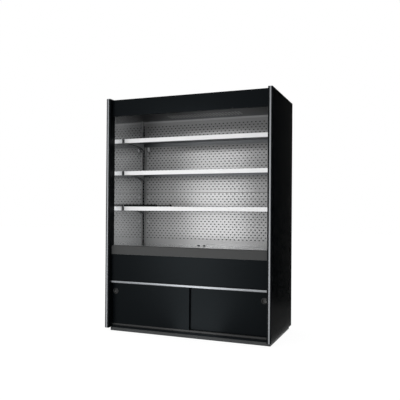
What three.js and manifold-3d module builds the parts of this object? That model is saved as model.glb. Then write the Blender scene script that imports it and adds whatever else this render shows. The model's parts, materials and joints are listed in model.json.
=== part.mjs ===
// An open multideck display fridge: an insulated cabinet with end panels, a canopy, three bracketed
// shelves in front of a perforated air duct, a cooled tank under the deck, and a base with two sliding
// doors. Millimetres, +Z up. The origin is on the floor, in the middle of the cabinet's footprint,
// and the open front faces -Y.
import * as THREE from "three";
import { mergeVertices } from "three/addons/utils/BufferGeometryUtils.js";
import Module from "manifold-3d";

const wasm = await Module();
wasm.setup();

// ---------------------------------------------------------------- driving dimensions
// Overall size
const WIDTH = 1460;
const DEPTH = 740;
const HEIGHT = 2000;
const GAP = 0.3; // fitting gap between neighbouring pieces
const SHEET = 1.5; // folded steel sheet
const LINER = 1.2; // polished liner sheet
const OVERSHOOT = 1; // how far a cutting or embedded solid reaches past a face
const FACET_COUNT = { opening: 24, pull: 20, hub: 20, motor: 16, drain: 16, small: 12, pipe: 8 };

// End panels and their front edge strips
const PANEL_THICKNESS = 36;
const PLINTH_HEIGHT = 32;
const STRIP_WIDTH = 18;
const STRIP_SEAT = 6; // depth of the groove that holds a strip
const STRIP_PROUD = 2;
const STRIP_CHAMFER = 1.5;

// Fronts between the end panels, all set back from the end panels' edges
const FRONT_SETBACK = 40;
const LINER_SETBACK = 80;
const HEADER_DROP = 6; // header's top below the end panels' tops
const HEADER_HEIGHT = 142;
const HEADER_RETURN = 90;
const HEADER_LIP = 24;
const HEADER_HEM = 10;
const SILL_TOP = 738;
const SILL_HEIGHT = 75;
const SILL_DEPTH = 40;
const FRONT_PANEL_RETURN = 12;
const BUMPER_HEIGHT = 22;
const BUMPER_PROUD = 10;
const BUMPER_WALL = 2.5;
const BUMPER_RADIUS = 4;

// Insulated tank, back wall and roof
const TANK_BOTTOM = 440;
const TANK_FLOOR = 45;
const TANK_WALL_TOP = 700;
const TANK_WALL = 36;
const BACK_WALL = 45;
const ROOF_THICKNESS = 40;
const ROOF_NOSE = 22;
const ROOF_NOSE_DROP = 72;
const ROOF_SETBACK = 84;
const DRAIN_RADIUS = 16;
const DRAIN_BORE = 12;
const DRAIN_LENGTH = 120;
const DRAIN_Y = 160;

// Air duct behind the shelves
const DUCT_DEPTH = 60; // from the perforated face to the back wall
const DUCT_SEAM_LEVEL = 1209;
const DUCT_SEAM = 2;
const DUCT_BOTTOM = 690;
const HOLE_WIDTH = 14;
const HOLE_PITCH = 150;
const HOLE_ROW = 92.4;
const HOLE_MARGIN = 60;
const LOWEST_HOLE = 780;

// Canopy
const CANOPY_DUCT = 56.2; // from the ceiling's underside to the roof
const CEILING_TRIM = 15;
const VENT_SETBACK = 447;
const VENT_WIDTH = 10;
const VENT_LENGTH = 16;
const VENT_PITCH = 29;
const VENT_COUNT = 24;
const DISCHARGE_WIDTH = 90;
const DISCHARGE_HEIGHT = 16;
const DISCHARGE_WALL = 6;
const DISCHARGE_CELL_COUNT = 15;
const LAMP_WIDTH = 34;
const LAMP_HEIGHT = 22;
const LAMP_SEAT = 10; // how far the lamp laps the nose

// Uprights and their slots
const UPRIGHT_WIDTH = 14;
const UPRIGHT_DEPTH = 24;
const UPRIGHT_WALL = 2;
const UPRIGHT_DROP = 46; // their tops below the ceiling
const SLOT_WIDTH = 4.4;
const SLOT_HEIGHT = 18;
const SLOT_PITCH = 28.8;
const SLOT_COUNT_BELOW = 10; // slots below the lowest shelf's upper hook

// Shelves, brackets and ticket strips
const LOWEST_SHELF = 1039; // bottom of its ticket strip
const SHELVES = [
  ["bottom", 0],
  ["middle", 11],
  ["top", 21],
]; // each with the count of slots that it hangs above the lowest shelf
const SHELF_DEPTH = 378;
const SHELF_CLEARANCE = 1.7; // between a shelf and the uprights
const TICKET_HEIGHT = 36;
const TICKET_DEPTH = 5.7;
const TICKET_WALL = 1.6;
const TICKET_LIP = 5;
const TRAY_HEIGHT = 32;
const BRACKET_THICKNESS = 3;
const BRACKET_STRAIGHT = 205; // straight part of the lower edge, from the bracket's front
const BRACKET_DROP = 50; // rear depth below the ticket strip's bottom
const HOOK_HEIGHT = 12;
const HOOK_LIP = 4;
const HOOK_SLOT_COUNT = 2; // slots between a bracket's two hooks
const HOOK_LEVEL = 8; // upper hook's underside above the ticket strip's bottom

// Guard rail on the lowest shelf
const RAIL_LENGTH = 472;
const RAIL_THICK_LENGTH = 330;
const RAIL_HEIGHT = 12;
const RAIL_INSET = 2; // the thin part and the feet, in from the thick part's faces
const RAIL_DEPTH = 10;
const RAIL_CLEAR = 8;
const RAIL_KNOB = 9;

// Deck and return air grille
const DECK_LEVEL = 722;
const DECK_SETBACK = 190;
const DECK_HEIGHT = 20;
const LEDGE_WIDTH = 20;
const LEDGE_THICKNESS = 2;
const FINGER_HOLE_RADIUS = 12.5;
const FINGER_HOLES_X = [-75, -20];
const FINGER_HOLES_SETBACK = 113; // from the perforated face
const GRILLE_DROP = 2;
const GRILLE_SLOT = 14;
const GRILLE_PITCH = 40;
const GRILLE_EDGE = 13;

// Evaporator and its fans, in the tank
const COIL_END = 102.2; // from the coil to the liner at each end
const COIL_DEPTH = 150;
const COIL_HEIGHT = 185;
const COIL_BASE = 14;
const FIN_THICKNESS = 4;
const FIN_PITCH = 24;
const COIL_Y = 55;
const FAN_PLATE_Y = -110;
const FAN_PLATE_DROP = 1; // top of the fans' plate below the ledge
const EVAPORATOR_FAN = { radius: 84, hub: 30, hubDepth: 26, blades: 5, chord: 52, pitch: 32 };
const SHAFT_RADIUS = 4;
const BLADE_THICKNESS = 2.5;
const BLADE_EMBED = 6; // how far a blade reaches into the hub
const SHAFT_EMBED = 18; // how far the shaft reaches into the hub
const MOTOR_DEPTH = 40;
const MOTOR_STEP = 3; // motor's radius below the hub's
const TIP_CLEARANCE = 6;
const STRUT = 9;
const POST = 6;

// Sliding doors and tracks
const TRACK_SETBACK = 54;
const TRACK_WALL = 3;
const DOOR_THICKNESS = 16;
const DOOR_RUN = 1; // running clearance on each face
const DOOR_OVERLAP = 64;
const DOOR_SIDE = 3;
const TRACK_TOP_HEIGHT = 27.7;
const TRACK_BOTTOM_HEIGHT = 14.7;
const DOOR_TOP_CLEARANCE = 10.7;
const PULL_RADIUS = 24.5;
const PULL_CUP = 21;
const PULL_DEPTH = 12;
const PULL_WALL = 1.5;
const PULL_FLANGE = 1.5;
const PULL_LEVEL = 344;
const PULL_INSET = 34; // centre from the door's outer edge

// Base
const BASE_THICKNESS = 18;
const BASE_SETBACK = 44;
const PLINTH_SETBACK = 60;
const PLINTH_INSET = 19;
const PLINTH_WALL = 3;
const FOOT_RADIUS = 20;
const FOOT_PAD = 10;
const STUD_RADIUS = 6;
const STUD_INTO_BASE = 14;
const FOOT_INSET = 71; // from the plinth's sides
const FOOT_SETBACK = 48; // from the plinth's front and from the back
const REAR_GRILLE_SETBACK = 8;
const LOUVRE_WIDTH = 8;
const LOUVRE_HEIGHT = 240;
const LOUVRE_PITCH = 40;

// Condensing unit, in the right half of the base
const UNIT_INSET = 224; // its middle from the right end panel
const CONDENSER_WIDTH = 340;
const CONDENSER_HEIGHT = 300;
const CONDENSER_DEPTH = 50;
const CONDENSER_Y = -175;
const CONDENSER_FAN = { radius: 90, hub: 32, hubDepth: 28, blades: 5, chord: 56, pitch: 30 };
const COMPRESSOR_RADIUS = 85;
const COMPRESSOR_HEIGHT = 190;
const COMPRESSOR_DOME = 45;
const COMPRESSOR_Y = 130;
const COMPRESSOR_PLATE = 5;
const COMPRESSOR_PLATE_WIDTH = 190;
const COMPRESSOR_PLATE_DEPTH = 133;
const PIPE_STEP_COUNT = 16;
const PIPE_RISE = 20;
const SUCTION_RADIUS = 8;
const SUCTION_OUT = 34; // beyond the pot's side
const SUCTION_BACK = 120;
const DISCHARGE_RADIUS = 5;
const DISCHARGE_OUT = 42;
const DISCHARGE_FORWARD = 60;
const DISCHARGE_LEAD = 90; // last stretch towards the condenser
const TRAY_WIDTH = 180;
const TRAY_DEPTH = 190;
const TRAY_WALL_HEIGHT = 45;
const TRAY_WALL = 2;
const TRAY_CLEARANCE = 10; // from the condenser's side
const CONTROL_WIDTH = 160;
const CONTROL_DEPTH = 80;
const CONTROL_HEIGHT = 110;
const CONTROL_CLEARANCE = 30; // from the condenser's side
const CONTROL_Y = -110;
const SWITCH_WIDTH = 16;
const SWITCH_HEIGHT = 22;
const SWITCH_THICKNESS = 6;
const SWITCH_TILT = 8; // degrees
const SWITCH_CLEARANCE = 1.5;
const SWITCH_DISH = 1.5; // hollow in the rocker's face

// ---------------------------------------------------------------- derived levels and planes
const FRONT = -DEPTH / 2;
const BACK = DEPTH / 2;
const fromFront = (setback) => FRONT + setback;
const INNER_X = WIDTH / 2 - PANEL_THICKNESS; // end panels' inner faces
const FRONT_X = INNER_X - GAP; // half width of what stands between them
const LINER_X = FRONT_X - LINER; // liners' inner faces
const INSIDE_X = LINER_X - GAP; // half width of what stands between the liners
const FACE_Y = fromFront(FRONT_SETBACK);
const HEADER_TOP = HEIGHT - HEADER_DROP;
const HEADER_BOTTOM = HEADER_TOP - HEADER_HEIGHT;
const ROOF_TOP = HEADER_TOP - SHEET - GAP;
const ROOF_BOTTOM = ROOF_TOP - ROOF_THICKNESS;
const CEILING_LEVEL = ROOF_BOTTOM - CANOPY_DUCT;
const UPRIGHT_TOP = CEILING_LEVEL - UPRIGHT_DROP;
const TANK_INSIDE = TANK_BOTTOM + TANK_FLOOR;
const TANK_FRONT = FACE_Y + SHEET + GAP;
const BACK_WALL_Y = BACK - BACK_WALL;
const DUCT_Y = BACK_WALL_Y - DUCT_DEPTH;
const UPRIGHT_X = INSIDE_X - UPRIGHT_WIDTH / 2;
const UPRIGHT_Y = DUCT_Y - GAP - UPRIGHT_DEPTH;
const TRAY_BACK = UPRIGHT_Y - SHELF_CLEARANCE;
const TRAY_FRONT = TRAY_BACK - SHELF_DEPTH;
const BRACKET_OUTER = UPRIGHT_X + BRACKET_THICKNESS / 2;
const TRAY_X = BRACKET_OUTER + GAP + SHEET;
const BASE_TOP = PLINTH_HEIGHT + BASE_THICKNESS;
const TRACK_Y = fromFront(TRACK_SETBACK);
const CHANNEL = DOOR_THICKNESS + 2 * DOOR_RUN;
const TRACK_DEPTH = 3 * TRACK_WALL + 2 * CHANNEL;
const TRACK_TOP = TANK_BOTTOM - GAP;
const DOOR_BOTTOM = BASE_TOP + GAP + TRACK_WALL + GAP;
const DOOR_TOP = TRACK_TOP - TRACK_WALL - DOOR_TOP_CLEARANCE;
const DOOR_OUTER = INNER_X - DOOR_SIDE;
const PLINTH_X = WIDTH / 2 - PLINTH_INSET;
const FOOT_X = PLINTH_X - FOOT_INSET;
const FOOT_FRONT_Y = fromFront(PLINTH_SETBACK) + FOOT_SETBACK;
const FOOT_REAR_Y = BACK - FOOT_SETBACK;
const FRONT_DOOR_Y = TRACK_Y + TRACK_WALL + DOOR_RUN;
const REAR_DOOR_Y = FRONT_DOOR_Y + CHANNEL + TRACK_WALL;

const UNIT_X = INNER_X - UNIT_INSET;
const UNIT_LEFT = UNIT_X - CONDENSER_WIDTH / 2;
const DRAIN_X = UNIT_LEFT - TRAY_CLEARANCE - TRAY_WIDTH / 2;
const CONTROL_X = UNIT_LEFT - CONTROL_CLEARANCE - CONTROL_WIDTH / 2;

// ---------------------------------------------------------------- geometry helpers
function solidOf(geometry) {
  const bare = geometry.clone();
  bare.deleteAttribute("normal");
  bare.deleteAttribute("uv");
  const merged = mergeVertices(bare, 1e-4);
  const mesh = new wasm.Mesh({
    numProp: 3,
    vertProperties: merged.attributes.position.array,
    triVerts: new Uint32Array(merged.index.array),
  });
  return new wasm.Manifold(mesh);
}

function geometryOf(solid) {
  const mesh = solid.getMesh();
  const geometry = new THREE.BufferGeometry();
  geometry.setAttribute("position", new THREE.BufferAttribute(new Float32Array(mesh.vertProperties), 3));
  geometry.setIndex(new THREE.BufferAttribute(new Uint32Array(mesh.triVerts), 1));
  geometry.computeVertexNormals();
  return geometry;
}

function join(...geometries) {
  const [first, ...rest] = geometries.map(solidOf);
  return geometryOf(rest.reduce((whole, piece) => whole.add(piece), first));
}

function cut(geometry, ...tools) {
  return geometryOf(tools.map(solidOf).reduce((whole, tool) => whole.subtract(tool), solidOf(geometry)));
}

// A box whose faces lie exactly on the given values.
function block(x, y, z) {
  const box = new THREE.BoxGeometry(1, 1, 1);
  const position = box.attributes.position;
  for (let i = 0; i < position.count; i += 1) {
    const corner = [position.getX(i), position.getY(i), position.getZ(i)].map((side) => (side > 0 ? 1 : 0));
    position.setXYZ(i, x[corner[0]], y[corner[1]], z[corner[2]]);
  }
  return box;
}

function shapeOf(points) {
  return new THREE.Shape(points.map(([u, v]) => new THREE.Vector2(u, v)));
}

// An outline of [u, v] points carried from one value to another; turn gives each point's place.
function carry(outline, [from, to], turn) {
  const solid = new THREE.ExtrudeGeometry(shapeOf(outline), { depth: 1, bevelEnabled: false });
  const position = solid.attributes.position;
  for (let i = 0; i < position.count; i += 1) {
    const along = position.getZ(i) > 0.5 ? to : from;
    position.setXYZ(i, ...turn(position.getX(i), position.getY(i), along));
  }
  return solid;
}

// The same with holes that go right through.
function pierce(outline, [from, to], turn, holes) {
  const solid = carry(outline, [from, to], turn);
  if (!holes.length) return solid;
  const beyond = [2 * from - to, 2 * to - from];
  return cut(solid, ...holes.map((hole) => carry(hole, beyond, turn)));
}

// A profile of [y, z] points carried along X.
function alongX(points, [x0, x1], holes = []) {
  return pierce(points, [x0, x1], (y, z, x) => [x, y, z], holes);
}

// A profile of [x, z] points carried along Y.
function alongY(points, [y0, y1], holes = []) {
  return pierce(points, [y1, y0], (x, z, y) => [x, y, z], holes);
}

// A profile of [x, y] points carried along Z.
function alongZ(points, [z0, z1], holes = []) {
  return pierce(points, [z0, z1], (x, y, z) => [x, y, z], holes);
}

function rectangle([u0, u1], [v0, v1]) {
  return [
    [u0, v0],
    [u1, v0],
    [u1, v1],
    [u0, v1],
  ];
}

function ring(u, v, radius, sides) {
  const step = (2 * Math.PI) / sides;
  return Array.from({ length: sides }, (_, i) => [
    u + radius * Math.cos((i + 0.5) * step),
    v + radius * Math.sin((i + 0.5) * step),
  ]);
}

// A polygon whose flats, not its corners, lie at the radius.
const outside = (radius, sides) => radius / Math.cos(Math.PI / sides);

function diamond(u, v, width) {
  return ring(u, v, width / Math.SQRT2, 4);
}

const mirrored = (points) => points.map(([u, v]) => [-u, v]);

// ---------------------------------------------------------------- finishes
const finish = (color, roughness, metalness) => ({ color, roughness, metalness });
const BLACK_PAINT = finish(0x14181b, 0.35, 0.1);
const ALUMINIUM = finish(0xb9bcbe, 0.35, 1);
const POLISHED = finish(0xb0b2b4, 0.12, 1);
const SATIN_STEEL = finish(0xa8a9ab, 0.35, 1);
const DARK_STEEL = finish(0x24272a, 0.5, 0.4);
const WHITE_PLASTIC = finish(0xf4f5f6, 0.4, 0);
const GREY_PLASTIC = finish(0x454646, 0.55, 0);
const BLACK_PLASTIC = finish(0x101112, 0.45, 0);
const PLINTH_PAINT = finish(0x484a4b, 0.5, 0.2);
const GALVANISED = finish(0x8f9396, 0.45, 0.9);
const COMPRESSOR_PAINT = finish(0x0d0e0f, 0.3, 0.2);

const cabinet = new THREE.Group();

function place(name, geometry, look, at = [0, 0, 0]) {
  const mesh = new THREE.Mesh(geometry, new THREE.MeshStandardMaterial(look));
  mesh.name = name;
  mesh.position.set(...at);
  cabinet.add(mesh);
  return mesh;
}

const SIDES = [
  ["left", -1],
  ["right", 1],
];

// ---------------------------------------------------------------- cabinet shell
// Foam-filled end panel with a groove down its front edge.
function endPanel() {
  const front = FRONT + STRIP_PROUD;
  const centre = INNER_X + PANEL_THICKNESS / 2;
  const groove = STRIP_WIDTH / 2 + GAP;
  const plan = [
    [INNER_X, front],
    [centre - groove, front],
    [centre - groove, front + STRIP_SEAT],
    [centre + groove, front + STRIP_SEAT],
    [centre + groove, front],
    [WIDTH / 2, front],
    [WIDTH / 2, BACK],
    [INNER_X, BACK],
  ];
  return (side) => alongZ(side < 0 ? mirrored(plan) : plan, [PLINTH_HEIGHT, HEIGHT]);
}

// Extruded aluminium strip that stands a little proud of the panel's edge.
function edgeStrip(side) {
  const centre = side * (INNER_X + PANEL_THICKNESS / 2);
  const half = STRIP_WIDTH / 2;
  const plan = [
    [centre - half, FRONT + STRIP_CHAMFER],
    [centre - half + STRIP_CHAMFER, FRONT],
    [centre + half - STRIP_CHAMFER, FRONT],
    [centre + half, FRONT + STRIP_CHAMFER],
    [centre + half, FRONT + STRIP_PROUD + STRIP_SEAT - GAP],
    [centre - half, FRONT + STRIP_PROUD + STRIP_SEAT - GAP],
  ];
  return alongZ(plan, [PLINTH_HEIGHT, HEIGHT]);
}

// Polished liner sheet with the ledge that carries the deck and the return air grille.
function sideLiner(side) {
  const front = fromFront(LINER_SETBACK) + GAP;
  const sheet = [LINER_X, LINER_X + LINER].map((x) => side * x).sort((a, b) => a - b);
  const ledge = [LINER_X - LEDGE_WIDTH, LINER_X + LINER / 2].map((x) => side * x).sort((a, b) => a - b);
  const ledgeTop = DECK_LEVEL - DECK_HEIGHT - GAP;
  return join(
    block(sheet, [front, BACK_WALL_Y - GAP], [TANK_INSIDE + GAP, ROOF_BOTTOM - GAP]),
    block(ledge, [front + SHEET, UPRIGHT_Y - GAP], [ledgeTop - LEDGE_THICKNESS, ledgeTop]),
  );
}

function backWall() {
  return block([-FRONT_X, FRONT_X], [BACK_WALL_Y, BACK], [TANK_INSIDE + GAP, ROOF_TOP]);
}

// Insulated roof with a nose that closes the canopy's air duct at the front.
function roofPanel() {
  const front = fromFront(ROOF_SETBACK);
  const noseBottom = ROOF_BOTTOM - ROOF_NOSE_DROP;
  const profile = [
    [front, ROOF_TOP],
    [front, noseBottom],
    [front + ROOF_NOSE, noseBottom],
    [front + ROOF_NOSE, ROOF_BOTTOM],
    [BACK_WALL_Y - GAP, ROOF_BOTTOM],
    [BACK_WALL_Y - GAP, ROOF_TOP],
  ];
  const besideNose = [front - OVERSHOOT, front + ROOF_NOSE + OVERSHOOT];
  const ends = [
    [-FRONT_X - OVERSHOOT, -INSIDE_X],
    [INSIDE_X, FRONT_X + OVERSHOOT],
  ];
  const tools = ends.map((x) => block(x, besideNose, [noseBottom - OVERSHOOT, ROOF_BOTTOM]));
  return cut(alongX(profile, [-FRONT_X, FRONT_X]), ...tools);
}

// Folded header: front face, top return over the roof and a hemmed lip at the bottom.
function headerPanel() {
  const front = FACE_Y;
  const lip = front + HEADER_LIP;
  const profile = [
    [front, HEADER_BOTTOM],
    [lip, HEADER_BOTTOM],
    [lip, HEADER_BOTTOM + HEADER_HEM],
    [lip - SHEET, HEADER_BOTTOM + HEADER_HEM],
    [lip - SHEET, HEADER_BOTTOM + SHEET],
    [front + SHEET, HEADER_BOTTOM + SHEET],
    [front + SHEET, HEADER_TOP - SHEET],
    [front + HEADER_RETURN, HEADER_TOP - SHEET],
    [front + HEADER_RETURN, HEADER_TOP],
    [front, HEADER_TOP],
  ];
  return alongX(profile, [-FRONT_X, FRONT_X]);
}

// Insulated tub: floor and front wall, with a drain spigot under the floor.
function coldTank() {
  const front = TANK_FRONT;
  const profile = [
    [front, TANK_BOTTOM],
    [BACK, TANK_BOTTOM],
    [BACK, TANK_INSIDE],
    [front + TANK_WALL, TANK_INSIDE],
    [front + TANK_WALL, TANK_WALL_TOP],
    [front, TANK_WALL_TOP],
  ];
  const drainBottom = TANK_BOTTOM - DRAIN_LENGTH;
  const drain = (radius) => ring(DRAIN_X, DRAIN_Y, radius, FACET_COUNT.drain);
  const spigot = alongZ(drain(DRAIN_RADIUS), [drainBottom, TANK_INSIDE - TANK_FLOOR / 2]);
  const bore = alongZ(drain(DRAIN_BORE), [drainBottom - OVERSHOOT, TANK_INSIDE + OVERSHOOT]);
  return cut(join(alongX(profile, [-FRONT_X, FRONT_X]), spigot), bore);
}

// ---------------------------------------------------------------- canopy
// Ceiling sheet with a row of air vents.
function ceilingPanel() {
  const front = fromFront(ROOF_SETBACK) + ROOF_NOSE + DISCHARGE_WIDTH + 2 * GAP;
  const vents = Array.from({ length: VENT_COUNT }, (_, i) => {
    const x = (i - (VENT_COUNT - 1) / 2) * VENT_PITCH;
    const y = fromFront(VENT_SETBACK);
    return rectangle([x - VENT_WIDTH / 2, x + VENT_WIDTH / 2], [y - VENT_LENGTH / 2, y + VENT_LENGTH / 2]);
  });
  const plan = rectangle([-INSIDE_X, INSIDE_X], [front, DUCT_Y + SHEET]);
  return alongZ(plan, [CEILING_LEVEL, CEILING_LEVEL + SHEET], vents);
}

// Bright angle in the corner between the ceiling and the duct panel.
function ceilingTrim() {
  const back = DUCT_Y - GAP;
  const top = CEILING_LEVEL - GAP;
  const profile = [
    [back, top],
    [back - CEILING_TRIM, top],
    [back - CEILING_TRIM, top - SHEET],
    [back - SHEET, top - SHEET],
    [back - SHEET, top - CEILING_TRIM],
    [back, top - CEILING_TRIM],
  ];
  return alongX(profile, [-INSIDE_X, INSIDE_X]);
}

// Cellular grille that straightens the falling air curtain.
function airDischargeGrille() {
  const front = fromFront(ROOF_SETBACK) + ROOF_NOSE + GAP;
  const back = front + DISCHARGE_WIDTH;
  const pitch = (2 * INSIDE_X - DISCHARGE_WALL) / DISCHARGE_CELL_COUNT;
  const middle = (front + back) / 2;
  const rows = [
    [front + DISCHARGE_WALL, middle - DISCHARGE_WALL / 2],
    [middle + DISCHARGE_WALL / 2, back - DISCHARGE_WALL],
  ];
  const cells = [];
  for (let i = 0; i < DISCHARGE_CELL_COUNT; i += 1) {
    const x = -INSIDE_X + DISCHARGE_WALL + i * pitch;
    for (const row of rows) cells.push(rectangle([x, x + pitch - DISCHARGE_WALL], row));
  }
  const top = CEILING_LEVEL;
  return alongZ(rectangle([-INSIDE_X, INSIDE_X], [front, back]), [top - DISCHARGE_HEIGHT, top], cells);
}

// Strip lamp under the roof's nose, behind the header.
function canopyLamp() {
  const back = fromFront(ROOF_SETBACK) - GAP;
  const top = ROOF_BOTTOM - ROOF_NOSE_DROP + LAMP_SEAT;
  const round = LAMP_HEIGHT / 3;
  const profile = [
    [back, top],
    [back - LAMP_WIDTH, top],
    [back - LAMP_WIDTH, top - LAMP_HEIGHT + round],
    [back - LAMP_WIDTH + round, top - LAMP_HEIGHT],
    [back - round, top - LAMP_HEIGHT],
    [back, top - LAMP_HEIGHT + round],
  ];
  return alongX(profile, [-INSIDE_X, INSIDE_X]);
}

// ---------------------------------------------------------------- duct and uprights
// Perforated sheet: rows of holes, each row shifted by half a pitch.
function ductPanel(bottom, top) {
  const holes = [];
  const columns = Math.floor((INSIDE_X - HOLE_MARGIN) / HOLE_PITCH);
  for (let row = 0, z = LOWEST_HOLE; z < top - HOLE_WIDTH; row += 1, z += HOLE_ROW) {
    if (z < bottom + HOLE_WIDTH) continue;
    const shift = row % 2 ? HOLE_PITCH / 2 : 0;
    for (let i = -columns; i <= columns; i += 1) {
      const x = i * HOLE_PITCH + shift;
      if (Math.abs(x) < INSIDE_X - HOLE_MARGIN) holes.push(diamond(x, z, HOLE_WIDTH));
    }
  }
  return alongY(rectangle([-INSIDE_X, INSIDE_X], [bottom, top]), [DUCT_Y, DUCT_Y + SHEET], holes);
}

const slotBottom = (index) => LOWEST_SHELF + HOOK_LEVEL - GAP + index * SLOT_PITCH;
const highestSlot = Math.floor((UPRIGHT_TOP - SLOT_HEIGHT - slotBottom(0)) / SLOT_PITCH);

// Channel with a slotted face that the bracket hooks enter.
function upright(side) {
  const centre = side * UPRIGHT_X;
  const half = UPRIGHT_WIDTH / 2;
  const inner = half - UPRIGHT_WALL;
  const plan = [
    [centre - half, UPRIGHT_Y],
    [centre + half, UPRIGHT_Y],
    [centre + half, UPRIGHT_Y + UPRIGHT_DEPTH],
    [centre + inner, UPRIGHT_Y + UPRIGHT_DEPTH],
    [centre + inner, UPRIGHT_Y + UPRIGHT_WALL],
    [centre - inner, UPRIGHT_Y + UPRIGHT_WALL],
    [centre - inner, UPRIGHT_Y + UPRIGHT_DEPTH],
    [centre - half, UPRIGHT_Y + UPRIGHT_DEPTH],
  ];
  const slots = [];
  for (let i = -SLOT_COUNT_BELOW; i <= highestSlot; i += 1) {
    const slotX = [centre - SLOT_WIDTH / 2, centre + SLOT_WIDTH / 2];
    const slotY = [UPRIGHT_Y - UPRIGHT_WALL, UPRIGHT_Y + 2 * UPRIGHT_WALL];
    slots.push(block(slotX, slotY, [slotBottom(i), slotBottom(i) + SLOT_HEIGHT]));
  }
  return cut(alongZ(plan, [TANK_INSIDE + GAP, UPRIGHT_TOP]), ...slots);
}

// ---------------------------------------------------------------- shelves
// Inverted steel tray that hides the tops of its brackets.
function shelfTray() {
  const top = TICKET_HEIGHT - SHEET;
  const outer = block([-TRAY_X, TRAY_X], [TRAY_FRONT, TRAY_BACK], [top - TRAY_HEIGHT, top]);
  const inner = block(
    [-TRAY_X + SHEET, TRAY_X - SHEET],
    [TRAY_FRONT + SHEET, TRAY_BACK - SHEET],
    [top - TRAY_HEIGHT - SHEET, top - SHEET],
  );
  return cut(outer, inner);
}

// Bracket plate: straight arm, a curve down to its heel and two hooks that go through the slots.
function bracket() {
  const front = TRAY_FRONT + SHEET + GAP;
  const back = UPRIGHT_Y - GAP;
  const top = TICKET_HEIGHT - 2 * SHEET - GAP;
  const step = HOOK_SLOT_COUNT * SLOT_PITCH;
  const web = UPRIGHT_Y + UPRIGHT_WALL + GAP;
  const tip = web + HOOK_LIP;
  const rearClear = TRAY_BACK - SHEET - GAP;
  const belowTray = TICKET_HEIGHT - SHEET - TRAY_HEIGHT - GAP;
  const shape = new THREE.Shape();
  shape.moveTo(front, 0);
  shape.lineTo(front + BRACKET_STRAIGHT, 0);
  shape.quadraticCurveTo(back - BRACKET_DROP / 2, -BRACKET_DROP / 5, back, -BRACKET_DROP);
  for (const level of [HOOK_LEVEL - step, HOOK_LEVEL]) {
    shape.lineTo(back, level);
    shape.lineTo(web, level);
    shape.lineTo(web, level - HOOK_LIP);
    shape.lineTo(tip, level - HOOK_LIP);
    shape.lineTo(tip, level + HOOK_HEIGHT - HOOK_LIP);
    shape.lineTo(back, level + HOOK_HEIGHT - HOOK_LIP);
  }
  shape.lineTo(back, top);
  shape.lineTo(front, top);
  const points = shape.getPoints(8).map((p) => [p.x, p.y]);
  const plate = alongX(points, [-BRACKET_THICKNESS / 2, BRACKET_THICKNESS / 2]);
  const notch = block(
    [-BRACKET_THICKNESS, BRACKET_THICKNESS],
    [rearClear, TRAY_BACK + GAP],
    [belowTray, top + SHEET],
  );
  return cut(plate, notch);
}

// Ticket strip: a channel whose two lips hold the tickets.
function ticketStrip() {
  const back = TRAY_FRONT - GAP;
  const front = back - TICKET_DEPTH;
  const inner = front + TICKET_WALL;
  const profile = [
    [back, 0],
    [back, TICKET_HEIGHT],
    [front, TICKET_HEIGHT],
    [front, TICKET_HEIGHT - TICKET_LIP],
    [inner, TICKET_HEIGHT - TICKET_LIP],
    [inner, TICKET_LIP],
    [front, TICKET_LIP],
    [front, 0],
  ];
  return alongX(profile, [-TRAY_X, TRAY_X]);
}

// Short guard rail on feet, thinner towards its knob.
function guardRail() {
  const y = [0, RAIL_DEPTH];
  const inner = [RAIL_INSET, RAIL_DEPTH - RAIL_INSET];
  const bottom = RAIL_CLEAR;
  const top = bottom + RAIL_HEIGHT;
  const feet = [RAIL_DEPTH, RAIL_THICK_LENGTH / 2, RAIL_THICK_LENGTH - 2 * RAIL_DEPTH].map((x) =>
    block([x, x + RAIL_DEPTH], inner, [0, bottom + OVERSHOOT]),
  );
  const knobX = RAIL_LENGTH - RAIL_KNOB;
  const thinX = [RAIL_THICK_LENGTH - OVERSHOOT, knobX];
  const thick = block([0, RAIL_THICK_LENGTH], y, [bottom, top]);
  const thin = block(thinX, inner, [bottom + RAIL_INSET, top - RAIL_INSET]);
  const knob = alongY(ring(knobX, (bottom + top) / 2, RAIL_KNOB, FACET_COUNT.small), y);
  return join(thick, thin, knob, ...feet);
}

// ---------------------------------------------------------------- deck
// Lift-out deck tray, notched round the uprights, with two finger holes.
function deckPanel() {
  const half = INSIDE_X - GAP;
  const front = fromFront(DECK_SETBACK);
  const back = DUCT_Y - 2 * GAP;
  const notchX = UPRIGHT_X - UPRIGHT_WIDTH / 2 - 2 * GAP;
  const notchY = UPRIGHT_Y - 2 * GAP;
  const plan = [
    [-half, front],
    [half, front],
    [half, notchY],
    [notchX, notchY],
    [notchX, back],
    [-notchX, back],
    [-notchX, notchY],
    [-half, notchY],
  ];
  const holeY = DUCT_Y - FINGER_HOLES_SETBACK;
  const holes = FINGER_HOLES_X.map((x) => ring(x, holeY, FINGER_HOLE_RADIUS, FACET_COUNT.small));
  const bottom = DECK_LEVEL - DECK_HEIGHT;
  const under = block(
    [-half + SHEET, half - SHEET],
    [front + SHEET, back + OVERSHOOT],
    [bottom - OVERSHOOT, DECK_LEVEL - SHEET],
  );
  return cut(alongZ(plan, [bottom, DECK_LEVEL], holes), under);
}

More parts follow.
